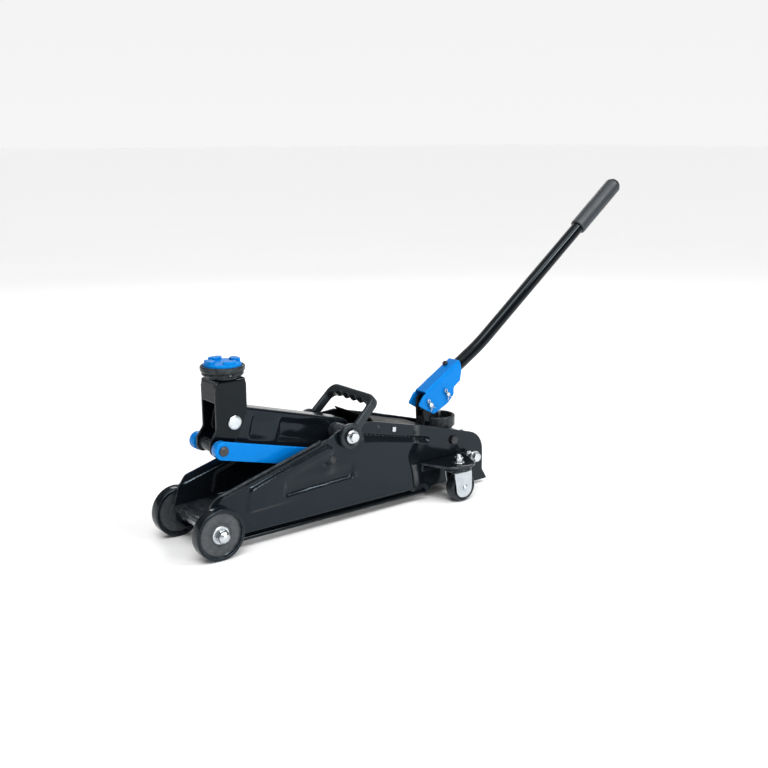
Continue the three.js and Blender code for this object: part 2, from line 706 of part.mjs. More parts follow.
// ---- Swivel head: a cup that turns on the pump barrel, with two ears for the handle socket ----
const earOutline = rounded([
  [361, 99, 3],
  [380, 99],
  [SOCKET_PIN.x + 9, SOCKET_PIN.z, 5],
  [SOCKET_PIN.x + 5, SOCKET_PIN.z + 11, 5],
  [SOCKET_PIN.x - 7, SOCKET_PIN.z + 11, 5],
  [SOCKET_PIN.x - 8.5, SOCKET_PIN.z - 4, 4],
]);
const head = cut(
  joined(
    rod(SWIVEL.radius, "z", SWIVEL.low, SWIVEL.high, PLUNGER_AT, 28),
    upright(earOutline, -9.2, 9.2),
  ),
  rod(20.5, "z", barrelTop, 200, PLUNGER_AT, 28),
  rod(running(8), "z", 80, 200, PLUNGER_AT),
  box(350, 400, -5.8, 5.8, SWIVEL.high + 2, 150),
  rod(running(SOCKET_PIN.radius), "y", -20, 20, [SOCKET_PIN.x, 0, SOCKET_PIN.z]),
);
piece("swivel_head", BLACK_PAINT, head);

// ---- Pump plunger with a slotted eye ----
const EYE = { z: PLUNGER_PIN.z - 0.85, half: 4.25, from: 387.1, to: 407 };
const eyeOutline = rounded([
  [EYE.from - 3, EYE.z - EYE.half - 2.6, 3],
  [EYE.to + 3, EYE.z - EYE.half - 2.6, 3],
  [EYE.to + 3, EYE.z + EYE.half + 2.6, 3],
  [EYE.from - 3, EYE.z + EYE.half + 2.6, 3],
]);
const eyeSlot = rounded([
  [EYE.from, EYE.z - EYE.half, 3],
  [EYE.to, EYE.z - EYE.half, 3],
  [EYE.to, EYE.z + EYE.half, 3],
  [EYE.from, EYE.z + EYE.half, 3],
]);
const plunger = cut(
  joined(
    rod(4, "z", 66, EYE.z - EYE.half - 1, PLUNGER_AT),
    upright(eyeOutline, -5, 5),
  ),
  upright(eyeSlot, -10, 10),
);
piece("pump_plunger", ZINC, plunger);

// ---- Handle socket, pins, tube and grip, drawn along the lower tube from the socket's mouth ----
const grip = leverFrame(HANDLE_MOUTH, -HANDLE.lower);
const mouth = ({ x, z }) =>
  at(x - HANDLE_MOUTH.x, z - HANDLE_MOUTH.z).rotateAround(at(0, 0), -degToRad(HANDLE.lower));
const socketPin = mouth(SOCKET_PIN);
const plungerPin = mouth(PLUNGER_PIN);
const SOCKET = { half: 12.3, top: 12.3, sheet: 2.5 };
const socketOutline = rounded([
  [-75, SOCKET.top, 2],
  [-95, 3, 3],
  [-87, -12, 5],
  [-78, -26, 4],
  [-50, -29, 5],
  [-34, -25, 5],
  [-29, -16, 4],
  [-14, -15, 4],
  [-4, -3, 5],
  [0, SOCKET.top, 1.5],
]);
const socketInner = SOCKET.half - SOCKET.sheet;
const webLow = SOCKET.top - SOCKET.sheet;
const SCREW_AT = [-14, 4.5, 0];
const socketBody = cut(
  solid(upright(socketOutline, -SOCKET.half, SOCKET.half)),
  box(-120, 10, -socketInner, socketInner, -60, webLow),
  box(-120, -73.5, -socketInner, socketInner, -60, 60),
  rod(SOCKET_PIN.radius + 0.1, "y", -30, 30, [socketPin.x, 0, socketPin.y]),
  rod(PLUNGER_PIN.radius + 0.1, "y", -30, 30, [plungerPin.x, 0, plungerPin.y]),
  rod(2.6, "z", 5, 20, SCREW_AT, 16),
);
piece("handle_socket", BLUE_PAINT, socketBody, grip);
const lockScrew = joined(
  rod(2.5, "z", 9.9, 13, SCREW_AT, 16),
  rod(4, "z", 12.8, 16.5, SCREW_AT, 20),
);
piece("handle_lock_screw", DARK_STEEL, lockScrew, grip);

const COTTER = { wire: 0.75, hole: 2 };
const pinReach = SOCKET.half + 5.5;
const cotterY = -SOCKET.half - 3.2;
for (const [name, spot, radius] of [
  ["socket_pin", socketPin, SOCKET_PIN.radius],
  ["plunger_pin", plungerPin, PLUNGER_PIN.radius],
]) {
  const place = [spot.x, 0, spot.y];
  const shank = cut(
    joined(
      rod(radius, "y", -pinReach, SOCKET.half + 1, place),
      rod(radius + 2, "y", SOCKET.half + 0.3, SOCKET.half + 3, place),
    ),
    rod(COTTER.hole, "z", -10, 10, [spot.x, cotterY, spot.y], 12),
  );
  piece(name, ZINC, shank, grip);
  // A split pin: one wire folded in two through the hole, an eye above and two spread legs below.
  const reach = radius + 1;
  const legs = [
    [4.5, -reach - 4],
    [1.4, -reach - 1],
    [0.95, 0],
    [0.95, reach],
    [2.4, reach + 2.4],
    [0, reach + 4.6],
    [-2.4, reach + 2.4],
    [-0.95, reach],
    [-0.95, 0],
    [-1.4, -reach - 1],
    [-4.5, -reach - 4],
  ].map(([x, z]) => [spot.x + x, cotterY, spot.y + z]);
  piece(`${name}_cotter`, ZINC, wire(legs, COTTER.wire, 20), grip);
}

// The tube bends up a little, runs straight and carries the grip at its end.
const rise = degToRad(HANDLE.upper - HANDLE.lower);
const tubePoint = (distance) => {
  const beyond = Math.max(0, distance - HANDLE.bend);
  const before = Math.min(distance, HANDLE.bend);
  return [before + beyond * Math.cos(rise), 0, beyond * Math.sin(rise)];
};
const [tubeStart, bendStart, bendMiddle, bendEnd, tubeEnd] = [
  -30,
  HANDLE.bend - 20,
  HANDLE.bend,
  HANDLE.bend + 20,
  HANDLE.gripAt + 60,
].map((distance) => new THREE.Vector3(...tubePoint(distance)));
const tubePath = new THREE.CurvePath();
tubePath.add(new THREE.LineCurve3(tubeStart, bendStart));
tubePath.add(new THREE.QuadraticBezierCurve3(bendStart, bendMiddle, bendEnd));
tubePath.add(new THREE.LineCurve3(bendEnd, tubeEnd));
const tubeSection = new THREE.Shape();
tubeSection.absarc(0, 0, HANDLE.radius, 0, 2 * Math.PI);
const tube = new THREE.ExtrudeGeometry(tubeSection, {
  steps: 16,
  curveSegments: 8,
  extrudePath: tubePath,
});
piece("handle_tube", BLACK_PAINT, tube, grip);

const gripFrame = new THREE.Group();
gripFrame.position.set(...tubePoint(HANDLE.gripAt));
gripFrame.rotation.y = -rise;
grip.add(gripFrame);
const gripLength = HANDLE.end - HANDLE.gripAt;
const gripBore = HANDLE.radius + 0.3;
const gripBody = turned(
  [
    [gripBore, 0],
    [HANDLE.grip - 1, 0],
    [HANDLE.grip, 1.5],
    [HANDLE.grip, gripLength - 5],
    [HANDLE.grip - 1.5, gripLength - 1.5],
    [HANDLE.grip - 5, gripLength],
    [0, gripLength],
    [0, 61],
    [gripBore, 61],
    [gripBore, 0],
  ],
  "x",
  [0, 0, 0],
);
piece("handle_grip", RUBBER, gripBody, gripFrame);

// ---- Casters on brackets at the back ----
const SHELF = { low: 52.5, high: 55.5 };
const stemX = WHEELBASE - CASTER.trail;
const race = 17.5;
for (const [name, side] of SIDES) {
  const stemAt = [stemX, side * CASTER.y, 0];
  const wallIn = REAR_HALF_WIDTH + 0.1;
  const shelfPlan = rounded([
    [JOGGLE.to + 1, wallIn],
    [JOGGLE.to - 3, wallIn + 4],
    [348, 88, 14],
    [stemX + 16, 95, 16],
    [404, 60, 8],
    [404, wallIn],
  ]).map(({ x, y }) => at(x, side * y));
  const bracketPlate = cut(
    joined(
      level(shelfPlan, SHELF.low, SHELF.high),
      box(JOGGLE.to + 1, 426, ...span(side, wallIn, wallIn + SHEET), SHELF.low - 12, SHELF.high),
      box(400, 404, ...span(side, wallIn, 60), SHELF.low - 8, SHELF.high),
    ),
    rod(running(5), "z", 40, 70, stemAt),
    rod(3.1, "y", -60, 60, [416, 0, 52.3], 20),
  );
  piece(`caster_bracket_${name}`, BLACK_PAINT, bracketPlate);
  const boltAt = [416, 0, 52.3];
  const bracketBolt = joined(
    rod(3, "y", ...span(side, REAR_HALF_WIDTH - 6, 64), boltAt, 16),
    rod(6.4, "y", ...span(side, wallIn + SHEET + 0.2, wallIn + SHEET + 6), boltAt, HEX),
    rod(8.5, "y", ...span(side, 58, 60), boltAt, 24),
    rod(6.8, "y", ...span(side, 59, 65.5), boltAt, HEX),
  );
  piece(`bracket_bolt_${name}`, ZINC, bracketBolt);
  const raceProfile = [
    [5.2, 46],
    [race - 2, 46],
    [race, 47.5],
    [race, 49.5],
    [race - 1.5, 50.5],
    [race + 1, 51.2],
    [race + 1, 52.3],
    [5.2, 52.3],
    [5.2, 46],
  ];
  piece(`caster_race_${name}`, BLACK_PAINT, turned(raceProfile, "z", stemAt, 18));

  const axleX = stemX + CASTER.trail;
  const forkInner = CASTER.width / 2 + 1.2;
  const forkOuter = forkInner + 1.8;
  const forkSide = rounded([
    [stemX - 16, 45.7],
    [stemX - 14, 36, 4],
    [axleX - 14, 7.5, 12],
    [axleX + 12.5, 7.5, 12],
    [stemX + 16, 36, 4],
    [stemX + 16, 45.7],
  ]);
  const forkMiddle = side * CASTER.y;
  const forkSpan = [forkMiddle - forkOuter, forkMiddle + forkOuter];
  const fork = cut(
    joined(
      upright(forkSide, ...forkSpan),
      rod(5, "z", 44, SHELF.high + 1, stemAt),
      rod(9, "z", SHELF.high + 0.3, SHELF.high + 2, stemAt, 24),
      rod(6.6, "z", SHELF.high + 1.8, SHELF.high + 12.5, stemAt, HEX),
    ),
    box(340, 410, forkMiddle - forkInner, forkMiddle + forkInner, 0, 43.4),
    rod(3.1, "y", -120, 120, [axleX, 0, CASTER.radius], 16),
  );
  piece(`caster_fork_${name}`, ZINC, fork);
  const half = CASTER.width / 2;
  const R = CASTER.radius;
  const wheelProfile = [
    [3.2, -half],
    [R - 2, -half],
    [R, -half + 3],
    [R, half - 3],
    [R - 2, half],
    [3.2, half],
    [3.2, -half],
  ];
  const wheelAt = [axleX, forkMiddle, R];
  piece(`caster_wheel_${name}`, BLACK_PLASTIC, turned(wheelProfile, "y", wheelAt, 32));
  const axle = joined(
    rod(3, "y", -forkOuter - 3, forkOuter + 3, wheelAt, 16),
    rod(5, "y", -forkOuter - 3.4, -forkOuter - 0.3, wheelAt, HEX),
    rod(5, "y", forkOuter + 0.3, forkOuter + 3.4, wheelAt, HEX),
  );
  piece(`caster_axle_${name}`, ZINC, axle);
}

// The origin goes to the middle of the footprint, on the floor.
const bounds = new THREE.Box3().setFromObject(jack);
jack.position.x = -(bounds.min.x + bounds.max.x) / 2;
jack.position.y = -(bounds.min.y + bounds.max.y) / 2;

export default jack;
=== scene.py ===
"""Looks for the hydraulic floor jack: finer pieces, finishes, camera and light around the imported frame.

Shapes are drawn in millimetres with X = 0 on the front axle, +X towards the handle, +Z up.
"""
import json
import math

import bpy
import numpy as np
from mathutils import Matrix, Vector
from mathutils.geometry import delaunay_2d_cdt


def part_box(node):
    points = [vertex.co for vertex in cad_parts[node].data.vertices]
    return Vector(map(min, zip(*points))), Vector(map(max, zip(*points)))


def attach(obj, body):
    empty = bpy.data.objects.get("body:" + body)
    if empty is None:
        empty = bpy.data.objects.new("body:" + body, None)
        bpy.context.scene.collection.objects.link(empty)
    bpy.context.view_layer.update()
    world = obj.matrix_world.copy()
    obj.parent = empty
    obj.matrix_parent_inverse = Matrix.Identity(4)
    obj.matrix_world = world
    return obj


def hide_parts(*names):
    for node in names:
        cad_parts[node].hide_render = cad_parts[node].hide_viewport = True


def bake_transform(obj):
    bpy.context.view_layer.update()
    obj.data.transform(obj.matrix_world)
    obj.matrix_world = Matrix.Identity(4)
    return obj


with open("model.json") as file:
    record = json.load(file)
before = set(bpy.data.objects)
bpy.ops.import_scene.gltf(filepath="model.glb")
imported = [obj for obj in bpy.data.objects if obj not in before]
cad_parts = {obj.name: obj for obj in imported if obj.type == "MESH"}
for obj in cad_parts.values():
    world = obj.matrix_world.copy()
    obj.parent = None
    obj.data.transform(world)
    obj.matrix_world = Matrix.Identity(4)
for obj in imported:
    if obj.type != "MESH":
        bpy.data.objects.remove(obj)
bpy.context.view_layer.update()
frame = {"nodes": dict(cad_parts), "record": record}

# ---- Driving dimensions, in millimetres ----
axle_low, axle_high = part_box("front_axle")
SHIFT = (axle_low.x + axle_high.x) / 2 * 1000
HALF = 44.0  # outer face of a side plate, front part
REAR_HALF = 38.0
SHEET = 3.0
JOGGLE = (312.0, 332.0)
PIVOT = (202.3, 118.9)
ARM_LENGTH = 159.5
ARM_REST = 13.8
ARM_HALF = 14.5
LINK_OFFSET = (-25.1, -28.8)
CRANK = 48.0
CRANK_REST = -7.2
RAM_Z = 74.8
SADDLE_X = 43.5
SADDLE_RIM = 228.0
SADDLE_TOP = 235.0
SADDLE_RADIUS = 28.0
SWIVEL_X = 396.5
SOCKET_PIN = (369.5, 127.5)
PLUNGER_PIN = (401.5, 138.8)
MOUTH = (432.5, 174.5)
HANDLE_LOWER = 31.0
HANDLE_UPPER = 38.0
BAIL_REST = 46.0
WHEEL_R = 32.8
WHEEL_FACE = 61.3
WHEEL_WIDTH = 16.0
CASTER_R = 21.2
CASTER_Y = 74.0
STEM_X = 371.0
CASTER_X = 375.0
TRUNNION = (392.5, 77.0)
BRACKET_BOLT = (416.0, 52.3)
PLUG_AT = (430.0, -14.0)
CREASE = 20.7  # below this height a side plate leans inwards
LINK = {"radius": 11.5, "boss": 22.5, "inner": 29.5, "outer": 33.5}
VALVE_Z = 58.0
SIDES = (("left", -1), ("right", 1))


def radians(degrees):
    return degrees * math.pi / 180


tip = radians(ARM_REST)
SADDLE_PIN = (PIVOT[0] - ARM_LENGTH * math.cos(tip), PIVOT[1] + ARM_LENGTH * math.sin(tip))
LINK_FRONT = (SADDLE_PIN[0] + LINK_OFFSET[0], SADDLE_PIN[1] + LINK_OFFSET[1])
LINK_REAR = (PIVOT[0] + LINK_OFFSET[0], PIVOT[1] + LINK_OFFSET[1])


# ---- Outlines ----
def rounded(corners, steps=5, closed=True):
    """A polyline whose corners are (x, y, radius), each rounded to its radius."""
    outline = []
    count = len(corners)
    for i, corner in enumerate(corners):
        p = np.array(corner[:2], float)
        radius = corner[2] if len(corner) > 2 else 0
        if not radius or (not closed and i in (0, count - 1)):
            outline.append(p)
            continue
        back = np.array(corners[i - 1][:2], float) - p
        ahead = np.array(corners[(i + 1) % count][:2], float) - p
        back /= np.linalg.norm(back)
        ahead /= np.linalg.norm(ahead)
        half = math.acos(max(-1.0, min(1.0, float(back @ ahead)))) / 2
        if half > 1.56:
            outline.append(p)
            continue
        centre = p + (back + ahead) / np.linalg.norm(back + ahead) * radius / math.sin(half)
        a = p + back * radius / math.tan(half) - centre
        b = p + ahead * radius / math.tan(half) - centre
        sweep = math.atan2(a[0] * b[1] - a[1] * b[0], a @ b)
        for k in range(steps + 1):
            t = sweep * k / steps
            turned = (a[0] * math.cos(t) - a[1] * math.sin(t), a[0] * math.sin(t) + a[1] * math.cos(t))
            outline.append(centre + turned)
    return np.array(outline)


def on_axis(point):
    """The middle of a pin or shaft whose X and Z are given."""
    return (point[0], 0, point[1])


def rectangle(x0, x1, y0, y1, radius):
    return rounded([(x0, y0, radius), (x1, y0, radius), (x1, y1, radius), (x0, y1, radius)])


def circle(x, y, radius, count=32):
    t = np.arange(count) * 2 * math.pi / count
    return np.stack([x + radius * np.cos(t), y + radius * np.sin(t)], 1)


def densified(loop, cell):
    """The loop with no edge longer than the cell and no two points closer than a hair."""
    out = []
    for p, q in zip(loop, np.roll(loop, -1, 0)):
        length = float(np.linalg.norm(q - p))
        if length < 0.02:
            continue
        pieces = max(1, math.ceil(length / cell))
        out += [p + (q - p) * k / pieces for k in range(pieces)]
    return np.array(out)


def turning(loop, sign):
    """The loop, running anticlockwise for sign 1 and clockwise for sign -1."""
    x, y = loop[:, 0], loop[:, 1]
    area = float(np.sum(x * np.roll(y, -1) - y * np.roll(x, -1)))
    return loop if area * sign > 0 else loop[::-1]


def inset(loop, distance):
    """The loop moved inwards, with sharp corners kept from running away."""
    before = loop - np.roll(loop, 1, 0)
    after = np.roll(loop, -1, 0) - loop
    before /= np.linalg.norm(before, axis=1)[:, None]
    after /= np.linalg.norm(after, axis=1)[:, None]
    n1 = np.stack([-before[:, 1], before[:, 0]], 1)
    n2 = np.stack([-after[:, 1], after[:, 0]], 1)
    middle = n1 + n2
    middle /= np.maximum(np.linalg.norm(middle, axis=1), 1e-6)[:, None]
    return loop + middle * distance / np.maximum(np.sum(middle * n1, 1), 0.6)[:, None]


def inside(points, loops):
    """Whether each point lies inside the loops, holes counted as outside."""
    px, py = points[:, 0][:, None], points[:, 1][:, None]
    count = np.zeros(len(points), int)
    for loop in loops:
        ax, ay = loop[:, 0], loop[:, 1]
        bx, by = np.roll(ax, -1), np.roll(ay, -1)
        rise = np.where(by == ay, 1e-12, by - ay)
        count += (((ay > py) != (by > py)) & (px < (bx - ax) * (py - ay) / rise + ax)).sum(1)
    return count % 2 == 1


def depth_in(x, y, polygon):
    """How far each point is inside a polygon; outside counts as negative."""
    points = np.stack([x, y], 1)
    best = np.full(len(points), 1e9)
    for p, q in zip(polygon, np.roll(polygon, -1, 0)):
        d = q - p
        t = np.clip(((points - p) @ d) / (d @ d), 0, 1)
        best = np.minimum(best, np.linalg.norm(points - p - t[:, None] * d, axis=1))
    return np.where(inside(points, [polygon]), best, -best)


def smooth(t):
    """A smooth step from 0 to 1."""
    t = np.clip(t, 0, 1)
    return t * t * (3 - 2 * t)


# ---- Solids: each is (vertices, faces, wear at each vertex) ----
def oriented(verts, faces, wear):
    """The solid with its faces pointing out."""
    verts = np.array(verts, float)
    volume = 0.0
    for f in faces:
        for k in range(1, len(f) - 1):
            volume += float(verts[f[0]] @ np.cross(verts[f[k]], verts[f[k + 1]]))
    if volume < 0:
        faces = [tuple(reversed(f)) for f in faces]
    return verts, faces, np.array(wear, float)


def sheet(outline, place, thick, edge=0.5, cell=3.0, holes=(), rings=3):
    """A sheet with rounded edges; place(a, b, depth) puts outline points and depths in space."""
    loops = [densified(turning(np.array(outline, float), 1), cell)]
    loops += [densified(turning(np.array(h, float), -1), cell) for h in holes]
    insets = [inset(loop, edge) for loop in loops]
    rim = np.vstack(insets)
    low, high = rim.min(0), rim.max(0)
    axes = [np.arange(low[k] + cell / 2, high[k], cell) for k in (0, 1)]
    grid = np.stack(np.meshgrid(*axes), -1).reshape(-1, 2)
    if len(grid):
        grid = grid[inside(grid, insets)]
    if len(grid):
        gap = np.full(len(grid), 1e9)
        for k in range(0, len(rim), 200):
            near = np.linalg.norm(grid[:, None] - rim[None, k:k + 200], axis=2).min(1)
            gap = np.minimum(gap, near)
        grid = grid[gap > 0.55 * cell]
    points = np.vstack([rim, grid]) if len(grid) else rim
    edges = []
    start = 0
    for loop in insets:
        edges += [(start + i, start + (i + 1) % len(loop)) for i in range(len(loop))]
        start += len(loop)
    made = delaunay_2d_cdt([Vector(p) for p in points], edges, [], 0, 1e-6)
    source = [o[0] for o in made[3]]
    tris = np.array([[source[i] for i in f] for f in made[2] if len(f) == 3])
    tris = tris[inside(points[tris].mean(1), insets)]
    count = len(points)
    a, b = points[:, 0], points[:, 1]
    verts = [place(a, b, np.zeros(count)), place(a, b, np.full(count, thick))]
    wear = [np.zeros(2 * count)]
    wear[0][:len(rim)] = 0.5
    wear[0][count:count + len(rim)] = 0.5
    faces = [tuple(int(i) for i in f) for f in tris]
    faces += [tuple(int(i) + count for i in reversed(f)) for f in tris]
    used = 2 * count
    start = 0
    for loop, inner in zip(loops, insets):
        n = len(loop)
        previous = list(range(start, start + n))
        levels = [(k, 1) for k in range(1, rings + 1)] + [(k, -1) for k in range(rings, 0, -1)]
        for k, face in levels:
            t = math.pi / 2 * k / rings
            p = inner + (loop - inner) * math.sin(t)
            d = edge * (1 - math.cos(t))
            verts.append(place(p[:, 0], p[:, 1], np.full(n, d if face > 0 else thick - d)))
            wear.append(np.ones(n))
            ring = list(range(used, used + n))
            used += n
            faces += [(previous[i], previous[i - 1], ring[i - 1], ring[i]) for i in range(n)]
            previous = ring
        ring = list(range(count + start, count + start + n))
        faces += [(previous[i], previous[i - 1], ring[i - 1], ring[i]) for i in range(n)]
        start += n
    return oriented(np.vstack(verts), faces, np.concatenate(wear))


def upright(y0, y1):
    """Places an outline in X and Z between two heights in Y."""
    return lambda a, b, d: np.stack([a, y0 + d * (1 if y1 > y0 else -1), b], 1)


def level(z0):
    """Places an outline in X and Y from z0 up."""
    return lambda a, b, d: np.stack([a, b, z0 + d], 1)


def along(x0):
    """Places an outline in Y and Z, from x0 towards +X."""
    return lambda a, b, d: np.stack([x0 + d, a, b], 1)


def prism(outline, place, thick, edge=0.4, cell=6.0, holes=()):
    return sheet(outline, place, thick, edge, cell, holes, 2)


def block(x0, x1, y0, y1, z0, z1, edge=0.6):
    return prism([(x0, y0), (x1, y0), (x1, y1), (x0, y1)], level(z0), z1 - z0, edge, 8.0)


AXES = {
    "x": lambda r, c, s, h: (h, r * c, r * s),
    "y": lambda r, c, s, h: (r * s, h, r * c),
    "z": lambda r, c, s, h: (r * c, r * s, h),
}


def lathe(profile, axis, centre, sides=56, steps=3, bore=False, facets=None):
    """A turned piece; profile corners are (radius, height, rounding) along the axis.

    facets(angle, radius, height) may change the radius, as for a hexagon."""
    line = rounded(profile, steps, closed=bore)
    corners = np.array([c[:2] for c in profile])
    verts, rows, wear = [], [], []
    for r, h in line:
        worn = 1.0 if np.min(np.linalg.norm(corners - (r, h), axis=1)) < 0.8 else 0.0
        if r < 1e-6:
            rows.append([len(verts)])
            verts.append(AXES[axis](0, 0, 0, h))
            wear.append(worn)
            continue
        row = []
        for k in range(sides):
            t = 2 * math.pi * k / sides
            size = facets(t, r, h) if facets else r
            row.append(len(verts))
            verts.append(AXES[axis](size, math.cos(t), math.sin(t), h))
            wear.append(worn)
        rows.append(row)
    faces = []
    pairs = list(zip(rows, rows[1:])) + ([(rows[-1], rows[0])] if bore else [])
    for p, q in pairs:
        for k in range(sides):
            j = (k + 1) % sides
            if len(p) == 1 and len(q) > 1:
                faces.append((p[0], q[j], q[k]))
            elif len(q) == 1 and len(p) > 1:
                faces.append((p[k], p[j], q[0]))
            elif len(p) > 1:
                faces.append((p[k], p[j], q[j], q[k]))
    return oriented(np.array(verts) + np.array(centre), faces, wear)


def mirrored(profile):
    """A wheel's profile, given for one face and repeated on the other."""
    return profile + [(r, -h, *rest) for r, h, *rest in reversed(profile)]


def disc(radius, axis, low, high, centre, edge=0.6, sides=56):
    return lathe([(0, low), (radius, low, edge), (radius, high, edge), (0, high)], axis, centre, sides)


def hexagon(across, axis, low, high, centre, dome=1.2):
    """A hexagonal head or nut, its far end turned round as such heads are."""
    flat = across * math.cos(math.pi / 6)
    top = high

    def facets(t, r, h):
        if r < across - 1e-6:
            return r
        rho = flat / math.cos((t + math.pi / 6) % (math.pi / 3) - math.pi / 6)
        return min(rho, flat + 1.7 * abs(top - h))

    step = (high - low) / 8
    profile = [(0, low)] + [(across, low + step * k) for k in range(9)]
    profile += [(flat * 0.93, high + (0.05 if high > low else -0.05)), (0, high + 0.05 * dome)]
    return lathe(profile, axis, centre, 72, 1, facets=facets)


def tube(points, radius, sides=12):
    """A wire or tube along the points, with slightly rounded ends."""
    points = [Vector(p) for p in points]
    tangents = []
    for i, p in enumerate(points):
        ahead = points[min(i + 1, len(points) - 1)] - points[max(i - 1, 0)]
        tangents.append(ahead.normalized())
    normal = tangents[0].orthogonal().normalized()
    rows = []
    verts = []
    for i, p in enumerate(points):
        t = tangents[i]
        normal = (normal - t * normal.dot(t)).normalized()
        across = t.cross(normal)
        row = []
        for k in range(sides):
            a = 2 * math.pi * k / sides
            row.append(len(verts))
            verts.append(tuple(p + (normal * math.cos(a) + across * math.sin(a)) * radius))
        rows.append(row)
    faces = []
    for p, q in zip(rows, rows[1:]):
        faces += [(p[k], p[(k + 1) % sides], q[(k + 1) % sides], q[k]) for k in range(sides)]
    for row, p, t in ((rows[0], points[0], -tangents[0]), (rows[-1], points[-1], tangents[-1])):
        centre = len(verts)
        verts.append(tuple(p + t * radius * 0.3))
        faces += [(centre, row[k], row[(k + 1) % sides]) if row is rows[-1]
                  else (centre, row[(k + 1) % sides], row[k]) for k in range(sides)]
    return oriented(verts, faces, np.zeros(len(verts)))


def curve(points, per=8):
    """Points along a smooth line through the given points."""
    points = [Vector(p) for p in points]
    out = []
    for i in range(len(points) - 1):
        a, b, c, d = (points[max(i - 1, 0)], points[i], points[i + 1], points[min(i + 2, len(points) - 1)])
        for k in range(per):
            t = k / per
            out.append(0.5 * ((2 * b) + (c - a) * t + (2 * a - 5 * b + 4 * c - d) * t * t
                              + (3 * b - a - 3 * c + d) * t ** 3))
    return out + [points[-1]]


def channel(cheek, top, half, bend, thick, edge=0.5, cell=1.6, relief=None, holes=()):
    """A sheet folded over twice into a channel, open below.

    cheek is the open line round one cheek from the folded edge back to it, in the channel's
    own X and height; top(x) is the height of the web. relief(x, height) moves a cheek outwards."""
    flat = half - bend
    arc = bend * math.pi / 2
    cheek = np.array(cheek, float)
    across = flat + arc + top(cheek[:, 0]) - bend - cheek[:, 1]
    across = np.maximum(across, flat * 0.2)
    one = np.stack([cheek[:, 0], across], 1)
    outline = np.vstack([one, (one * (1, -1))[::-1]])

    def place(a, s, d):
        r = np.abs(s)
        t = np.clip((r - flat) / bend, 0, math.pi / 2)
        y = np.where(r < flat, r, flat + (bend - d) * np.sin(t))
        v = top(a) - bend + (bend - d) * np.cos(t)
        v = np.where(r > flat + arc, v - (r - flat - arc), v)
        if relief is not None:
            y = y + relief(a, v) * (r > flat + arc)
        return np.stack([a, y * np.sign(s), v], 1)

    drilled = []
    for x, z, radius in holes:
        s = flat + arc + float(top(np.array([x]))[0]) - bend - z
        drilled += [circle(x, s, radius), circle(x, -s, radius)]
    return sheet(outline, place, thick, edge, cell, drilled)


def flat_top(height):
    """The top of a channel that is level along its length."""
    return lambda x: height + 0 * x


def lever(pivot, degrees):
    """Turns a lever drawn level, with its pivot at the origin, up by some degrees."""
    c, s = math.cos(radians(degrees)), math.sin(radians(degrees))

    def move(solid):
        v, f, w = solid
        x, y, z = v[:, 0], v[:, 1], v[:, 2]
        return np.stack([x * c + z * s + pivot[0], y, -x * s + z * c + pivot[1]], 1), f, w

    return move


def add(name, data):
    """Puts a new object with this data into the scene."""
    obj = bpy.data.objects.new(name, data)
    bpy.context.scene.collection.objects.link(obj)
    return obj


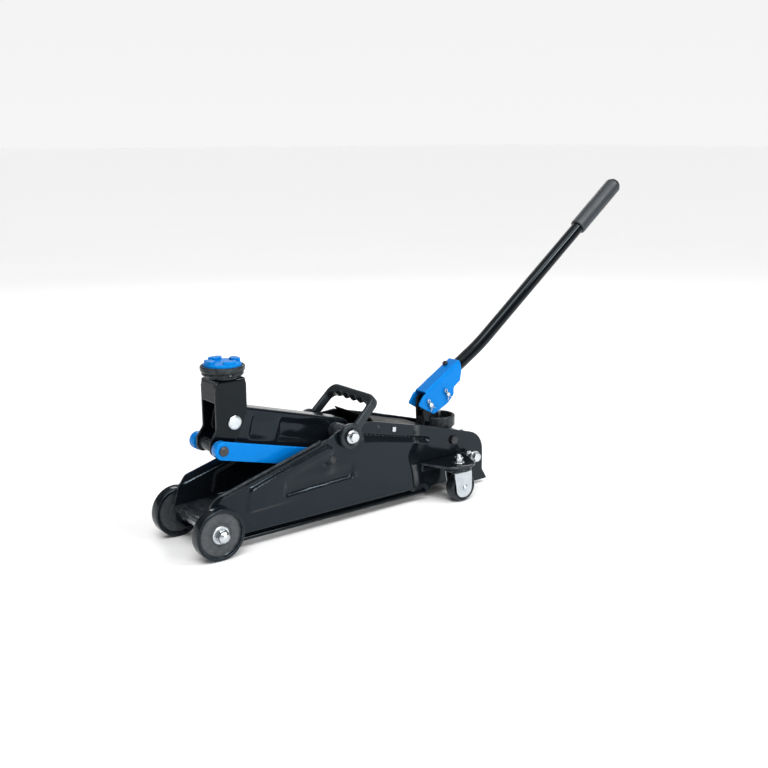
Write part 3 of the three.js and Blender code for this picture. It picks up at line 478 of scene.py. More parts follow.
# ---- Finishes ----
def finish(name, color, color2, rough, metallic=0.0, grain=(900, 0.02), worn=None, mottle=60,
           peel=(240, 0.01), specular=0.5, tint=(1, 1, 1)):
    """A painted, plated or moulded finish with uneven colour and gloss, fine relief and worn edges."""
    material = bpy.data.materials.new(name)
    material.use_nodes = True
    tree = material.node_tree
    tree.nodes.clear()
    node = tree.nodes.new
    link = tree.links.new
    out = node("ShaderNodeOutputMaterial")
    shader = node("ShaderNodeBsdfPrincipled")
    shader.inputs["Metallic"].default_value = metallic
    shader.inputs["Specular IOR Level"].default_value = specular
    shader.inputs["Specular Tint"].default_value = (*tint, 1)
    link(shader.outputs[0], out.inputs[0])
    place = node("ShaderNodeTexCoord").outputs["Object"]

    def noise_at(scale, detail=4.0):
        n = node("ShaderNodeTexNoise")
        n.inputs["Scale"].default_value = scale
        n.inputs["Detail"].default_value = detail
        link(place, n.inputs["Vector"])
        return n.outputs["Fac"]

    def ranged(value, a, b, low=0.3, high=0.7):
        m = node("ShaderNodeMapRange")
        m.inputs["From Min"].default_value = low
        m.inputs["From Max"].default_value = high
        m.inputs["To Min"].default_value = a
        m.inputs["To Max"].default_value = b
        link(value, m.inputs["Value"])
        return m.outputs["Result"]

    def mixed(factor, a, b, kind="RGBA"):
        m = node("ShaderNodeMix")
        m.data_type = kind
        ports = (6, 7, 2) if kind == "RGBA" else (2, 3, 0)
        link(factor, m.inputs[0])
        for port, value in zip(ports[:2], (a, b)):
            if isinstance(value, bpy.types.NodeSocket):
                link(value, m.inputs[port])
            else:
                m.inputs[port].default_value = (*value, 1) if kind == "RGBA" else value
        return m.outputs[ports[2]]

    tone = mixed(ranged(noise_at(mottle, 6.0), 0, 1), color, color2)
    gloss = ranged(noise_at(mottle * 0.6, 8.0), rough[0], rough[1])
    if worn:
        edge = node("ShaderNodeAttribute")
        edge.attribute_name = "wear"
        patch = ranged(noise_at(170, 5.0), 0.45, 1, 0.4, 0.62)
        times = node("ShaderNodeMath")
        times.operation = "MULTIPLY"
        link(edge.outputs["Fac"], times.inputs[0])
        link(patch, times.inputs[1])
        amount = ranged(times.outputs[0], 0, worn[2], 0.1, 1.0)
        tone = mixed(amount, tone, worn[0])
        gloss = mixed(amount, gloss, worn[1], "FLOAT")
    link(tone, shader.inputs["Base Color"])
    link(gloss, shader.inputs["Roughness"])
    fine = node("ShaderNodeBump")
    fine.inputs["Strength"].default_value = 1.0
    fine.inputs["Distance"].default_value = grain[1] / 1000
    link(noise_at(grain[0], 3.0), fine.inputs["Height"])
    soft = node("ShaderNodeBump")
    soft.inputs["Strength"].default_value = 1.0
    soft.inputs["Distance"].default_value = peel[1] / 1000
    link(noise_at(peel[0], 1.0), soft.inputs["Height"])
    link(fine.outputs["Normal"], soft.inputs["Normal"])
    link(soft.outputs["Normal"], shader.inputs["Normal"])
    return material


BARE = ((0.075, 0.083, 0.09), 0.34, 0.42)
FINISHES = {
    "black_paint": finish("black_paint", (0.004, 0.0056, 0.0075), (0.0055, 0.0075, 0.0098), (0.1, 0.18),
                          worn=BARE, specular=0.27, tint=(0.7, 0.88, 1.0)),
    "blue_paint": finish("blue_paint", (0.001, 0.155, 0.52), (0.001, 0.168, 0.56), (0.12, 0.2),
                         worn=((0.01, 0.28, 0.75), 0.3, 0.3), specular=0.35, tint=(0.12, 0.75, 1.0)),
    "zinc": finish("zinc", (0.42, 0.47, 0.50), (0.60, 0.64, 0.66), (0.2, 0.38), 1.0, (700, 0.02),
                   worn=((0.7, 0.73, 0.75), 0.18, 0.5)),
    "steel": finish("steel", (0.36, 0.37, 0.38), (0.46, 0.47, 0.48), (0.2, 0.38), 1.0, (500, 0.015)),
    "dark_steel": finish("dark_steel", (0.02, 0.021, 0.023), (0.035, 0.036, 0.038), (0.3, 0.45), 0.7,
                         (600, 0.03), worn=((0.12, 0.12, 0.125), 0.3, 0.4)),
    "wheel_iron": finish("wheel_iron", (0.018, 0.023, 0.028), (0.036, 0.043, 0.050), (0.5, 0.7), 0.0,
                         (1100, 0.16), worn=((0.08, 0.085, 0.09), 0.4, 0.5)),
    "grip_rubber": finish("grip_rubber", (0.015, 0.020, 0.025), (0.020, 0.026, 0.031), (0.38, 0.5), 0.0,
                          (1500, 0.05)),
    "black_plastic": finish("black_plastic", (0.005, 0.0065, 0.008), (0.008, 0.0098, 0.0115), (0.26, 0.38),
                            0.0, (1300, 0.03), worn=((0.02, 0.024, 0.028), 0.35, 0.4), specular=0.38,
                            tint=(0.8, 0.92, 1.0)),
    "blue_pad": finish("blue_pad", (0.001, 0.15, 0.50), (0.001, 0.175, 0.56), (0.3, 0.42), 0.0,
                       (900, 0.05), worn=((0.01, 0.26, 0.7), 0.4, 0.3), specular=0.16,
                       tint=(0.12, 0.75, 1.0)),
    "plug_rubber": finish("plug_rubber", (0.012, 0.012, 0.012), (0.02, 0.02, 0.02), (0.5, 0.7), 0.0,
                          (900, 0.05)),
}
# Painted shade: a darker, glossier copy of the black paint. Its base colour is pressed down so the saddle
# bracket, saddle cup, handle tube, swivel head and rolled skirt read darker than the side plates.
SHADED_BLACK = finish("black_paint_painted_shade", (0.0015, 0.002, 0.003), (0.003, 0.004, 0.005), (0.055, 0.1),
              worn=BARE, specular=0.2, tint=(0.8, 0.93, 1.0))
DULL = finish("dull_black_paint", (0.005, 0.0065, 0.008), (0.012, 0.011, 0.010), (0.3, 0.5),
              specular=0.1, mottle=35)


def piece(name, body, slot, solids, replaces=(), sharp=38, look=None):
    """Joins solids into one piece that rides on a body and stands for some CAD nodes."""
    verts, faces, wear, base = [], [], [], 0
    for v, f, w in solids:
        verts.append(v)
        faces += [tuple(i + base for i in g) for g in f]
        wear.append(w)
        base += len(v)
    co = np.vstack(verts)
    co[:, 0] += SHIFT
    mesh = bpy.data.meshes.new(name)
    mesh.from_pydata((co / 1000).tolist(), [], faces)
    mesh.attributes.new("wear", "FLOAT", "POINT").data.foreach_set("value", np.concatenate(wear))
    mesh.polygons.foreach_set("use_smooth", [True] * len(mesh.polygons))
    mesh.set_sharp_from_angle(angle=radians(sharp))
    mesh.materials.append(look or FINISHES[slot])
    obj = add(name, mesh)
    if body:
        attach(obj, body)
    if replaces:
        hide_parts(*replaces)
    return obj


def both(inner, outer, side):
    """A span across Y on one side, given for the right side."""
    return (inner, outer) if side > 0 else (-outer, -inner)


# ---- Side plates ----
FLANGE = (16.0, 162.0)
SLOPE = 0.285


def slope_line(x):
    return 75 + SLOPE * (x - FLANGE[0])


def flange_window(x):
    return smooth((x + 4) / 16) * (1 - smooth((x - 150) / 16))


slope_xs = np.linspace(-2, 166, 57)
slope_edge = [(x, slope_line(x) + 7.4 * float(flange_window(x))) for x in slope_xs]
plate_outline = np.vstack([
    rounded([(171, slope_line(171)), (188, 127.5, 12), (241, 131.5, 10), (336, 108, 40), (450.5, 76.5, 32),
             (451, 22, 8), (461, 6, 1.5), (436, 6, 6), (376, 16, 6), (353, 17, 4), (345, 9.5, 3),
             (6, 9.5, 6), (-10, 26, 9), (-10, 46, 8), (-4, 67)], 6, closed=False),
    np.array(slope_edge),
])
PANEL = rounded([(44, 46, 7), (51, 76, 8), (112, 95, 30), (170, 111.5, 8), (178, 102, 8), (150, 50, 30)], 4)


def plate_relief(x, z):
    panel = 3.0 * smooth(depth_in(x, z, PANEL) / 6 + 0.5)
    panel *= 1 - smooth((x - 70) / 70) * (1 - smooth((z - 0.26 * (x - 60) - 62) / 14))
    ramp = smooth((x - 99) / 6) * (1 - smooth((x - 208) / 5))
    foot = 53.5 + 0.045 * (x - 102)
    bead = -3.2 * ramp * smooth((z - foot) / 5) * (1 - smooth((z - foot - 6) / 20))
    knob = 1.8 * np.exp(-((x - 211) ** 2 + (z - 63) ** 2) / 14)
    dome = 3.4 * np.exp(-((x - LINK_REAR[0] + 9 + 0.4 * (z - LINK_REAR[1] + 9)) ** 2 / 90
                          + (z - LINK_REAR[1] + 9) ** 2 / 90))
    low = np.interp(x, (226, 262, 314, 348), (103.5, 98.5, 88.5, 79.5))
    high = np.interp(x, (226, 262, 314, 348), (116, 108, 96, 86.5))
    tilt = np.clip((z - low) / (high - low), 0, 1)
    ends = smooth((x - 224) / 6) * (1 - smooth((x - 342) / 8))
    stripe = -4.2 * ends * tilt * (1 - smooth((z - high + 0.8) / 2.4))
    rivet = -1.4 * np.exp(-((x - 253) ** 2 + (z - 120.5) ** 2) / 10)
    return panel + bead + knob + dome + stripe + rivet


for name, side in SIDES:
    def place(x, z, d, side=side):
        line = JOGGLE[0] - 0.0048 * np.maximum(z - 22, 0) ** 2 * smooth((90 - z) / 30)
        joggle = smooth((x - line) / (JOGGLE[1] - JOGGLE[0]))
        y = HALF - (HALF - REAR_HALF) * joggle
        lean = np.clip(CREASE - z, 0, 4.8) * 1.2 * (1 - smooth((x - 336) / 12))
        window = flange_window(x) * (x < 171)
        rise = slope_line(x) - 4
        t = np.maximum(z - rise, 0) * (window > 0)
        angle = 0.72 * window
        bend = 5.0
        inner = np.minimum(t / bend, angle)
        beyond = np.maximum(t - bend * angle, 0)
        out = bend * (1 - np.cos(inner)) + beyond * np.sin(angle)
        up = bend * np.sin(inner) + beyond * np.cos(angle)
        z2 = np.where(t > 0, rise + up + d * np.sin(inner), z)
        y = y - lean + plate_relief(x, z) + out - d * np.cos(inner)
        return np.stack([x, side * y, z2], 1)

    piece(f"pressed_side_plate_{name}", "frame", "black_paint",
          [sheet(plate_outline, place, SHEET, 0.6, 1.5)], [f"side_plate_{name}"], 50)
    rivets = [
        disc(3.6, "y", *both(HALF - 3, HALF + 0.6, side), (253, 0, 120.5), 1.3, 32),
        disc(2.8, "y", *both(HALF - 3, HALF + 1.4, side), (316, 0, 102.5), 1.2, 28),
    ]
    piece(f"plate_rivets_{name}", "frame", "black_paint", rivets)
    lip_at = side * (HALF - 3.4)
    rolled = [(24, lip_at, 12.4), (180, lip_at, 12.4), (338, lip_at, 12.4)]
    # The rolled skirt takes the darker copy of the black paint, which is painted shade.
    piece(f"rolled_skirt_{name}", "frame", "black_paint", [tube(rolled, 2.7, 20)], look=SHADED_BLACK)
    tab = prism(rounded([(275.6, 111, 1), (281.4, 110, 1), (281.8, 117, 1), (276, 118, 1)]),
                upright(*both(HALF - 4, HALF + 1.8, side)), 5.8, 0.5, 3)
    piece(f"plate_tab_{name}", "frame", "zinc", [tab])

# ---- Cross plates and cover ----
inner = HALF - SHEET
cross = rounded([(-10, 44.5, 3), (41, 44.5, 3), (41, 34), (38.3, 34), (38.3, 41.5, 1.2), (-7.3, 41.5, 1.2),
                 (-7.3, 37.5), (-10, 37.5)])
piece("pressed_front_cross_plate", "frame", "black_paint",
      [prism(cross, upright(-inner - 0.2, inner + 0.2), 2 * inner + 0.4, 0.4, 3)], ["front_cross_plate"])
rear_inner = REAR_HALF - SHEET
rear = rounded([(-rear_inner, 9, 1), (rear_inner, 9, 1), (rear_inner, 72, 3), (-rear_inner, 72, 3)])
piece("pressed_rear_cross_plate", "frame", "black_paint",
      [prism(rear, along(443), 3, 0.5, 6, [circle(0, VALVE_Z, 9)]),
       block(430, 444, -rear_inner, rear_inner, 9, 12)], ["rear_cross_plate"])


def cover_place(x, y, d):
    z = 126.6 - 0.253 * (x - 246)
    lip = np.maximum(250 - x, 0)
    crown = 1.0 * smooth((inner - 6 - np.abs(y)) / 8) * smooth((x - 252) / 10)
    return np.stack([x + 0.25 * (2 - d), y, z + 0.9 * lip + crown - d], 1)


plan = [(241, inner), (JOGGLE[0] - 3, inner), (JOGGLE[1] - 4, rear_inner), (355, rear_inner)]
plan = plan + [(x, -y) for x, y in reversed(plan)]
piece("pressed_cover_plate", "frame", "black_paint",
      [sheet(plan, cover_place, 2, 0.5, 3)], ["cover_plate"], 50, DULL)

# ---- Front axle, wheels, washers and nuts ----
centre = (0, 0, WHEEL_R)
piece("turned_front_axle", "frame", "steel", [disc(6.5, "y", -WHEEL_FACE - 6, WHEEL_FACE + 6, centre, 1)],
      ["front_axle"])
for name, side in SIDES:
    middle = side * (WHEEL_FACE - WHEEL_WIDTH / 2)
    half = WHEEL_WIDTH / 2
    rim = mirrored([(WHEEL_R - 7, -half + 4.4), (WHEEL_R - 4.6, -half + 3.6, 0.8), (WHEEL_R - 4, -half, 1),
                    (WHEEL_R, -half, 1.6)])
    body = f"front_wheel_body_{name}"
    piece(f"roller_rim_{name}", body, "black_paint", [lathe(rim, "y", (0, middle, WHEEL_R), 96, 4, True)])
    web = mirrored([(6.7, -half + 3.4), (12.6, -half + 3.4, 0.4), (12.9, -half + 4.2, 0.3),
                    (14.5, -half + 4.2, 0.3), (14.8, -half + 3.4, 0.4), (WHEEL_R - 6.2, -half + 3.4, 0.6),
                    (WHEEL_R - 5.4, -half + 5, 0.5)])
    piece(f"roller_{name}", body, "wheel_iron", [lathe(web, "y", (0, middle, WHEEL_R), 96, 3, True)],
          [f"front_wheel_{name}"])
    hub = WHEEL_FACE - 3.8
    washer = [(6.6, 0), (11.5, 0, 0.5), (11.5, 2, 0.7), (9.5, 2.4, 0.5), (6.6, 2.4)]
    lift = (0, side * hub, WHEEL_R)
    turned_washer = [(r, side * h, *rest) for r, h, *rest in washer]
    piece(f"turned_washer_{name}", "frame", "zinc", [lathe(turned_washer, "y", lift, 56, 3, True)],
          [f"axle_washer_{name}"])
    nut = [hexagon(8.6, "y", side * 2.2, side * 9.4, lift),
           lathe([(0, side * 8.6), (7.9, side * 8.6, 0.4), (7.6, side * 11.4, 2), (4.6, side * 14.2, 3),
                  (0, side * 15)], "y", lift, 48)]
    piece(f"domed_nut_{name}", "frame", "zinc", nut, [f"axle_nut_{name}"])

# ---- Main pivot and link pins ----
pivot_at = on_axis(PIVOT)
BOLT_HEAD = 53.0
for name, side in SIDES:
    bolt = [disc(4, "y", *both(30, BOLT_HEAD + 1, side), pivot_at),
            lathe([(0, side * BOLT_HEAD), (9.5, side * BOLT_HEAD, 0.4), (9.5, side * (BOLT_HEAD + 1.6), 0.6),
                   (7.8, side * (BOLT_HEAD + 3.4), 0.6), (0, side * (BOLT_HEAD + 3.4))], "y", pivot_at),
            hexagon(6.8, "y", side * (BOLT_HEAD + 3), side * (BOLT_HEAD + 7.2), pivot_at)]
    piece(f"flanged_bolt_{name}", "frame", "zinc", bolt, [f"pivot_bolt_{name}"])
    rear_at = on_axis(LINK_REAR)
    pin = [disc(5, "y", *both(26.5, 45.4, side), rear_at, 1.0, 40),
           disc(8, "y", *both(33.9, 40.9, side), rear_at, 0.4, 40),
           disc(7.5, "y", *both(26.5, 29.1, side), rear_at, 0.6, 40)]
    piece(f"link_rear_rivet_{name}", "frame", "dark_steel", pin, [f"link_rear_pin_{name}"])
piece("turned_pivot_shaft", "frame", "steel",
      [lathe([(4.25, -45), (8, -45, 0.5), (8, 45, 0.5), (4.25, 45)], "y", pivot_at, 48, 2, True)],
      ["pivot_shaft"])

# ---- Lift arm ----
raise_arm = lever(PIVOT, ARM_REST)
crank_a = radians(CRANK_REST)
crank_world = (-CRANK * math.sin(crank_a), -CRANK * math.cos(crank_a))
crank = (crank_world[0] * math.cos(tip) - crank_world[1] * math.sin(tip),
         crank_world[0] * math.sin(tip) + crank_world[1] * math.cos(tip))
arm_cheek = rounded([
    (-ARM_LENGTH - 9, 15.5), (-ARM_LENGTH - 14, 10, 7), (-ARM_LENGTH - 14, -14, 13), (-146, -25.5, 8),
    (-72, -28, 20), (crank[0] - 15, crank[1] - 7, 10), (crank[0] + 9, crank[1] - 12, 10), (21, -8, 14),
    (19.5, 12, 4), (16, 15.5)], 6, closed=False)


def arm_top(u):
    return 20 - 0.0184 * (u + 144) - 4.5 * smooth((-145 - u) / 34) - 4.0 * smooth((u - 6) / 26)


def arm_relief(u, v):
    across = smooth((15 - v) / 12) * smooth((v + 21) / 8)
    front = smooth((u + 134) / 4) * (1 - smooth((u + 126) / 34))
    rear = smooth((u + 92) / 5) * (1 - smooth((u + 34) / 26))
    return -2.6 * across * (front + rear)


arm_solids = [raise_arm(channel(arm_cheek, arm_top, ARM_HALF, 3.2, SHEET, 0.5, 1.7, arm_relief,
                                [(0, 0, 8.3), (-ARM_LENGTH, 0, 6.3), (crank[0], crank[1], 5.3)])),
              lathe([(8.3, -40), (12, -40, 0.6), (12, 40, 0.6), (8.3, 40)], "y", pivot_at, 48, 2, True)]
piece("pressed_lift_arm", "arm", "black_paint", arm_solids, ["lift_arm"], 45)
ram_pin_at = (PIVOT[0] + crank_world[0], 0, PIVOT[1] + crank_world[1])
piece("turned_ram_pin", "arm", "steel", [disc(5, "y", -ARM_HALF, ARM_HALF, ram_pin_at, 0.6, 40)], ["ram_pin"])

# ---- Saddle bracket ----
FRONT, REAR, TOP = 22.0, 66.0, 212.0
cheek = rounded([
    (FRONT + 1, TOP - 5), (FRONT, TOP - 9, 3), (FRONT, 150, 8), (LINK_FRONT[0] - 9.5, LINK_FRONT[1] + 9, 4),
    (LINK_FRONT[0] - 10.5, LINK_FRONT[1] - 10.5, 9.5), (LINK_FRONT[0] + 10, LINK_FRONT[1] - 10.5, 9),
    (REAR - 12, 139.5, 8), (REAR, 167, 4), (REAR, TOP - 8, 3), (REAR - 1.2, TOP - 4)], 6, closed=False)
bracket = channel(cheek, flat_top(TOP), 18, 3.0, SHEET, 0.5, 1.7, None,
                  [(*SADDLE_PIN, 6.1), (*LINK_FRONT, 7.6)])
lip = prism(rounded([(-16.4, 184, 1), (16.4, 184, 1), (16.4, TOP - 2.6, 1.5), (-16.4, TOP - 2.6, 1.5)]),
            along(FRONT + 0.1), SHEET - 0.2, 0.5, 4)
# The saddle bracket takes the darker copy of the black paint, which is painted shade.
piece("pressed_saddle_bracket", "bracket", "black_paint", [bracket, lip], ["saddle_bracket"], 45, SHADED_BLACK)
pin_at = on_axis(SADDLE_PIN)
head = [disc(6, "y", -18.8, 18.8, pin_at)]
for _, side in SIDES:
    head.append(lathe([(0, side * 18.1), (9.3, side * 18.1, 0.3), (9.3, side * 19.9, 0.9),
                       (6.4, side * 20.6, 0.5), (0, side * 20.7)], "y", pin_at))
piece("headed_saddle_pin", "bracket", "zinc", head, ["saddle_pin"])
front_at = on_axis(LINK_FRONT)
pins = [disc(5, "y", -34.3, 34.3, front_at, 0.5, 40)]
for _, side in SIDES:
    pins.append(lathe([(0, side * 33.9), (6.2, side * 33.9, 0.3), (6.2, side * 35.4, 0.6),
                       (3.4, side * 35.9, 0.4), (0, side * 35.3)], "y", front_at, 40))
piece("headed_link_pin", "bracket", "dark_steel", pins, ["link_front_pin"])
piece("link_spacer_tube", "bracket", "black_paint",
      [lathe([(5.2, -22.2), (7.5, -22.2, 0.5), (7.5, 22.2, 0.5), (5.2, 22.2)], "y", front_at, 48, 2, True)],
      ["link_spacer"])

# ---- Links ----
raise_link = lever(LINK_REAR, ARM_REST)
r = LINK["radius"]
bar = rounded([(-ARM_LENGTH - r, r, r - 0.01), (-ARM_LENGTH - r, -r, r - 0.01), (r, -r, r - 0.01),
               (r, r, r - 0.01)], 10)
for name, side in SIDES:
    y0, y1 = both(LINK["inner"], LINK["outer"], side)
    flat = sheet(bar, upright(y0, y1), 4, 0.7, 3, [circle(0, 0, 5.3), circle(-ARM_LENGTH, 0, 5.3)])
    start, end = side * LINK["boss"], side * 30
    boss = lathe([(5.3, start), (r - 0.2, start, 0.8), (r - 0.2, end), (5.3, end)], "y",
                 (-ARM_LENGTH, 0, 0), 48, 2, True)
    piece(f"pressed_link_{name}", f"link_bar_{name}", "blue_paint", [raise_link(flat), raise_link(boss)],
          [f"link_{name}"])

# ---- Saddle ----
saddle_at = (SADDLE_X, 0, 0)
RIM, R = SADDLE_RIM, SADDLE_RADIUS
cup = [(0, 196), (9, 196, 0.5), (9, TOP + 0.3), (21, TOP + 0.3, 0.5), (21, RIM - 12.8, 0.8),
       (25.2, RIM - 12.6, 1.4), (26.6, RIM - 10.6, 1.4), (25.9, RIM - 8.4, 0.8), (25.4, RIM - 8.0, 0.3),
       (R - 0.9, RIM - 7.4, 1.2), (R, RIM - 5.6, 1.0), (R, RIM - 1.4, 1.2), (R - 1.6, RIM, 0.9),
       (R - 3.4, RIM - 0.8, 0.8), (R - 3.8, RIM - 6, 0.8), (0, RIM - 6)]
# The saddle cup takes the darker copy of the black paint, which is painted shade.
piece("turned_saddle_cup", "saddle", "black_paint", [lathe(cup, "z", saddle_at, 96, 4)], ["saddle_cup"],
      look=SHADED_BLACK)
base = SADDLE_TOP - 3.4
pad = [lathe([(0, RIM - 5.8), (23.4, RIM - 5.8, 0.6), (23.8, base - 2.2, 1.2), (22, base, 1.4),
              (13, base - 0.2, 2), (8, base - 1.2, 2), (0, base - 1.2)], "z", saddle_at, 72, 4)]
lug = rounded([(12, -4.6, 2), (19.4, -11.4, 3), (22.9, -4, 5), (22.9, 4, 5), (19.4, 11.4, 3),
               (12, 4.6, 2)])
for turn in (0, 90, 180, 270):
    c, s = math.cos(radians(turn)), math.sin(radians(turn))
    spun = np.stack([lug[:, 0] * c - lug[:, 1] * s + SADDLE_X, lug[:, 0] * s + lug[:, 1] * c], 1)
    pad.append(sheet(spun, level(base - 1.4), SADDLE_TOP - base + 1.4, 1.1, 2))
piece("moulded_saddle_pad", "saddle", "blue_pad", pad, ["saddle_pad"], 60)

# ---- Carrying handle ----
raise_bail = lever(PIVOT, BAIL_REST)
B_TOP, B_IN, B_OUT = 64.0, 45.4, 52.4
bar_low = B_TOP - 13
outer = rounded([(-B_OUT, 0), (-B_OUT + 3, B_TOP, 14), (B_OUT - 3, B_TOP, 14), (B_OUT, 0)], 10, closed=False)
FINGERS, PITCH, SCALLOP = 4, 16.0, 1.9
reach = FINGERS * PITCH / 2
scalloped = [(y, bar_low + SCALLOP * (1 - math.cos(2 * math.pi * (y + reach) / PITCH)))
             for y in np.linspace(-reach, reach, 97)]
inner_line = np.vstack([
    rounded([(B_IN, 0), (B_IN, 20, 3), (B_IN - 1.1, bar_low, 9), (reach + 0.5, bar_low)], 8, closed=False),
    np.array(scalloped[::-1]),
    rounded([(-reach - 0.5, bar_low), (-B_IN + 1.1, bar_low, 9), (-B_IN, 20, 3), (-B_IN, 0)],
            8, closed=False),
])
bail_outline = np.vstack([outer, inner_line])
bail = [raise_bail(sheet(bail_outline, along(-6.5), 13, 2.2, 2.6, rings=4))]
for _, side in SIDES:
    hub = [(4.3, side * B_IN), (16.2, side * B_IN, 0.8), (17, side * (B_IN + 1.5), 0.8),
           (17, side * (B_OUT - 1.2), 1.2), (15.6, side * B_OUT, 0.8), (11, side * B_OUT),
           (10.4, side * (B_OUT - 0.7)), (4.3, side * (B_OUT - 0.7))]
    bail.append(lathe(hub, "y", pivot_at, 72, 3, True))
piece("moulded_carry_handle", "bail", "black_plastic", bail, ["carry_handle"], 50)

# ---- Hydraulic unit ----
ram_axis = (0, 0, RAM_Z)
cylinder = [(9.2, 252), (15, 252, 1), (15, 262, 1), (22, 262, 2), (22, 366, 0.5), (9.2, 366)]
piece("turned_oil_cylinder", "frame", "black_paint", [lathe(cylinder, "x", ram_axis, 72, 3, True)],
      ["oil_cylinder"])
pump = [block(366, 417, -26, 26, 42, 84, 1.2), block(415, 438, -26, 26, 42, 68, 1.2),
        lathe([(4.2, 80), (21, 80), (21, 90.6, 0.8), (4.2, 90.6)], "z", (SWIVEL_X, 0, 0), 64, 2, True),
        lathe([(4.2, 88), (8, 88), (8, 97, 0.8), (4.2, 97)], "z", (SWIVEL_X, 0, 0), 48, 2, True),
        disc(11, "y", -34.9, 34.9, on_axis(TRUNNION), 0.8),
        block(356, 367, -5, 5, 42, 50, 0.6),
        disc(2.5, "y", -20, 20, (360, 0, 46), 0.5, 28)]
piece("machined_pump_block", "frame", "black_paint", pump, ["pump_block"])
piece("moulded_filler_plug", "frame", "plug_rubber",
      [lathe([(0, 60), (4, 60), (4, 68.2), (6, 68.3, 0.6), (6, 74, 1.2), (3.5, 74.4, 0.6), (3.5, 80, 1.4),
              (0, 80.2)], "z", (*PLUG_AT, 0), 40)], ["filler_plug"])
for name, side in SIDES:
    trunnion_at = on_axis(TRUNNION)
    piece(f"hex_trunnion_{name}", "frame", "dark_steel",
          [disc(5, "y", *both(24, 39, side), trunnion_at, 0.4, 32),
           hexagon(6.4, "y", side * 38.3, side * 42, trunnion_at)], [f"trunnion_bolt_{name}"])
valve = [lathe([(0, 426), (5, 426, 0.5), (5, 442), (7.5, 442, 0.6), (7.5, 451, 0.8), (6.5, 451.2),
                (6.2, 449.6), (0, 449.6)], "x", (0, 0, VALVE_Z), 48)]
# The screwdriver slot is the gap between two half-moons.
reach = math.sqrt(6.4 ** 2 - 1.4 ** 2)
half_moon = ((1.4, -reach), (4.5, -4.5), (6.3, 0), (4.5, 4.5), (1.4, reach))
for _, side in SIDES:
    moon = rounded([(side * y, VALVE_Z + z, 0.8) for y, z in half_moon], 2)
    valve.append(prism(moon, along(449), 7, 0.5, 3))
piece("slotted_release_valve", "valve", "zinc", valve, ["release_valve"])

# ---- Ram, its head and the return springs ----
rod = [disc(9, "x", 226.2, 322, ram_axis, 0.8), disc(6, "x", 218.2, 228, ram_axis)]
piece("polished_ram", "ram_rod", "steel", rod, ["ram"])
head_outline = rectangle(196, 226, RAM_Z - 15, RAM_Z + 15, 5)
rx = ram_pin_at[0]
slot_line = rectangle(rx - 5.75, rx + 5.75, RAM_Z - 9.9, RAM_Z + 9.9, 5.7)
ram_head = [prism(head_outline, upright(-9, 9), 18, 0.8, 4, [slot_line]),
            block(208, 216, -5, 5, 42, 60.4, 0.6), disc(2.5, "y", -20, 20, (212, 0, 46), 0.5, 28)]
piece("slotted_ram_head", "ram_rod", "dark_steel", ram_head, ["ram_head"])
SPRING_Z, SPRING_REAR, SPRING_FRONT, COIL, WIRE = 46.0, 360.0, 212.0, 4.2, 0.85
TURNS, PER_TURN, HOOK_STEP = 34, 12, 23
for name, side in SIDES:
    y = side * 15
    path = []
    for t in range(-40, -271, -HOOK_STEP):
        a = radians(t)
        path.append((SPRING_FRONT + COIL * math.cos(a), y, SPRING_Z + COIL * math.sin(a)))
    first, last = SPRING_FRONT + 12, SPRING_REAR - 12
    for k in range(TURNS * PER_TURN + 1):
        a = 2 * math.pi * k / PER_TURN
        x = first + (last - first) * k / (TURNS * PER_TURN)
        path.append((x, y + COIL * math.sin(a), SPRING_Z + COIL * math.cos(a)))
    for t in range(90, -141, -HOOK_STEP):
        a = radians(t)
        path.append((SPRING_REAR + COIL * math.cos(a), y, SPRING_Z + COIL * math.sin(a)))
    coil = piece(f"coiled_return_spring_{name}", None, "steel", [tube(path, WIRE, 8)],
                 [f"return_spring_{name}"])
    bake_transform(coil)

# ---- Swivel head and plunger ----
swivel_at = (SWIVEL_X, 0, 0)
ring = [(8.2, 91), (23.6, 91, 1), (24.7, 92.4, 1), (24.7, 105.6, 1.2), (23.6, 106.6, 0.8), (21.6, 106.6, 0.8),
        (20.5, 105.4, 0.8), (20.5, 97, 0.8), (8.2, 97)]
swivel = [lathe(ring, "z", swivel_at, 96, 4, True)]
px, pz = SOCKET_PIN
ear = rounded([(362, 95, 1), (376, 95, 1), (376.8, 112, 4), (px + 9, pz, 5), (px + 5, pz + 11, 5),
               (px - 7, pz + 11, 5), (px - 8.5, pz - 4, 4), (362, 106, 4)])
for low, high in ((-9.2, -5.8), (5.8, 9.2)):
    swivel.append(sheet(ear, upright(low, high), high - low, 0.6, 3))
swivel.append(block(362.5, 375.6, -7.5, 7.5, 96, 108.4, 0.8))
# The swivel head takes the darker copy of the black paint, which is painted shade.
piece("forged_swivel_head", "swivel", "black_paint", swivel, ["swivel_head"], look=SHADED_BLACK)
eye_z = PLUNGER_PIN[1] - 0.85
eye = rectangle(384.1, 410, eye_z - 6.85, eye_z + 6.85, 3.4)
hole = rectangle(387.1, 407, eye_z - 4.25, eye_z + 4.25, 3)
piece("turned_plunger", "plunger", "zinc",
      [lathe([(0, 66), (4, 66, 0.6), (4, eye_z - 5), (0, eye_z - 5)], "z", swivel_at, 40),
       sheet(eye, upright(-5, 5), 10, 0.7, 3, [hole])], ["pump_plunger"])

# ---- Handle ----
raise_handle = lever(MOUTH, -HANDLE_LOWER)


def to_handle(x, z):
    a = radians(HANDLE_LOWER)
    dx, dz = x - MOUTH[0], z - MOUTH[1]
    return dx * math.cos(a) + dz * math.sin(a), -dx * math.sin(a) + dz * math.cos(a)


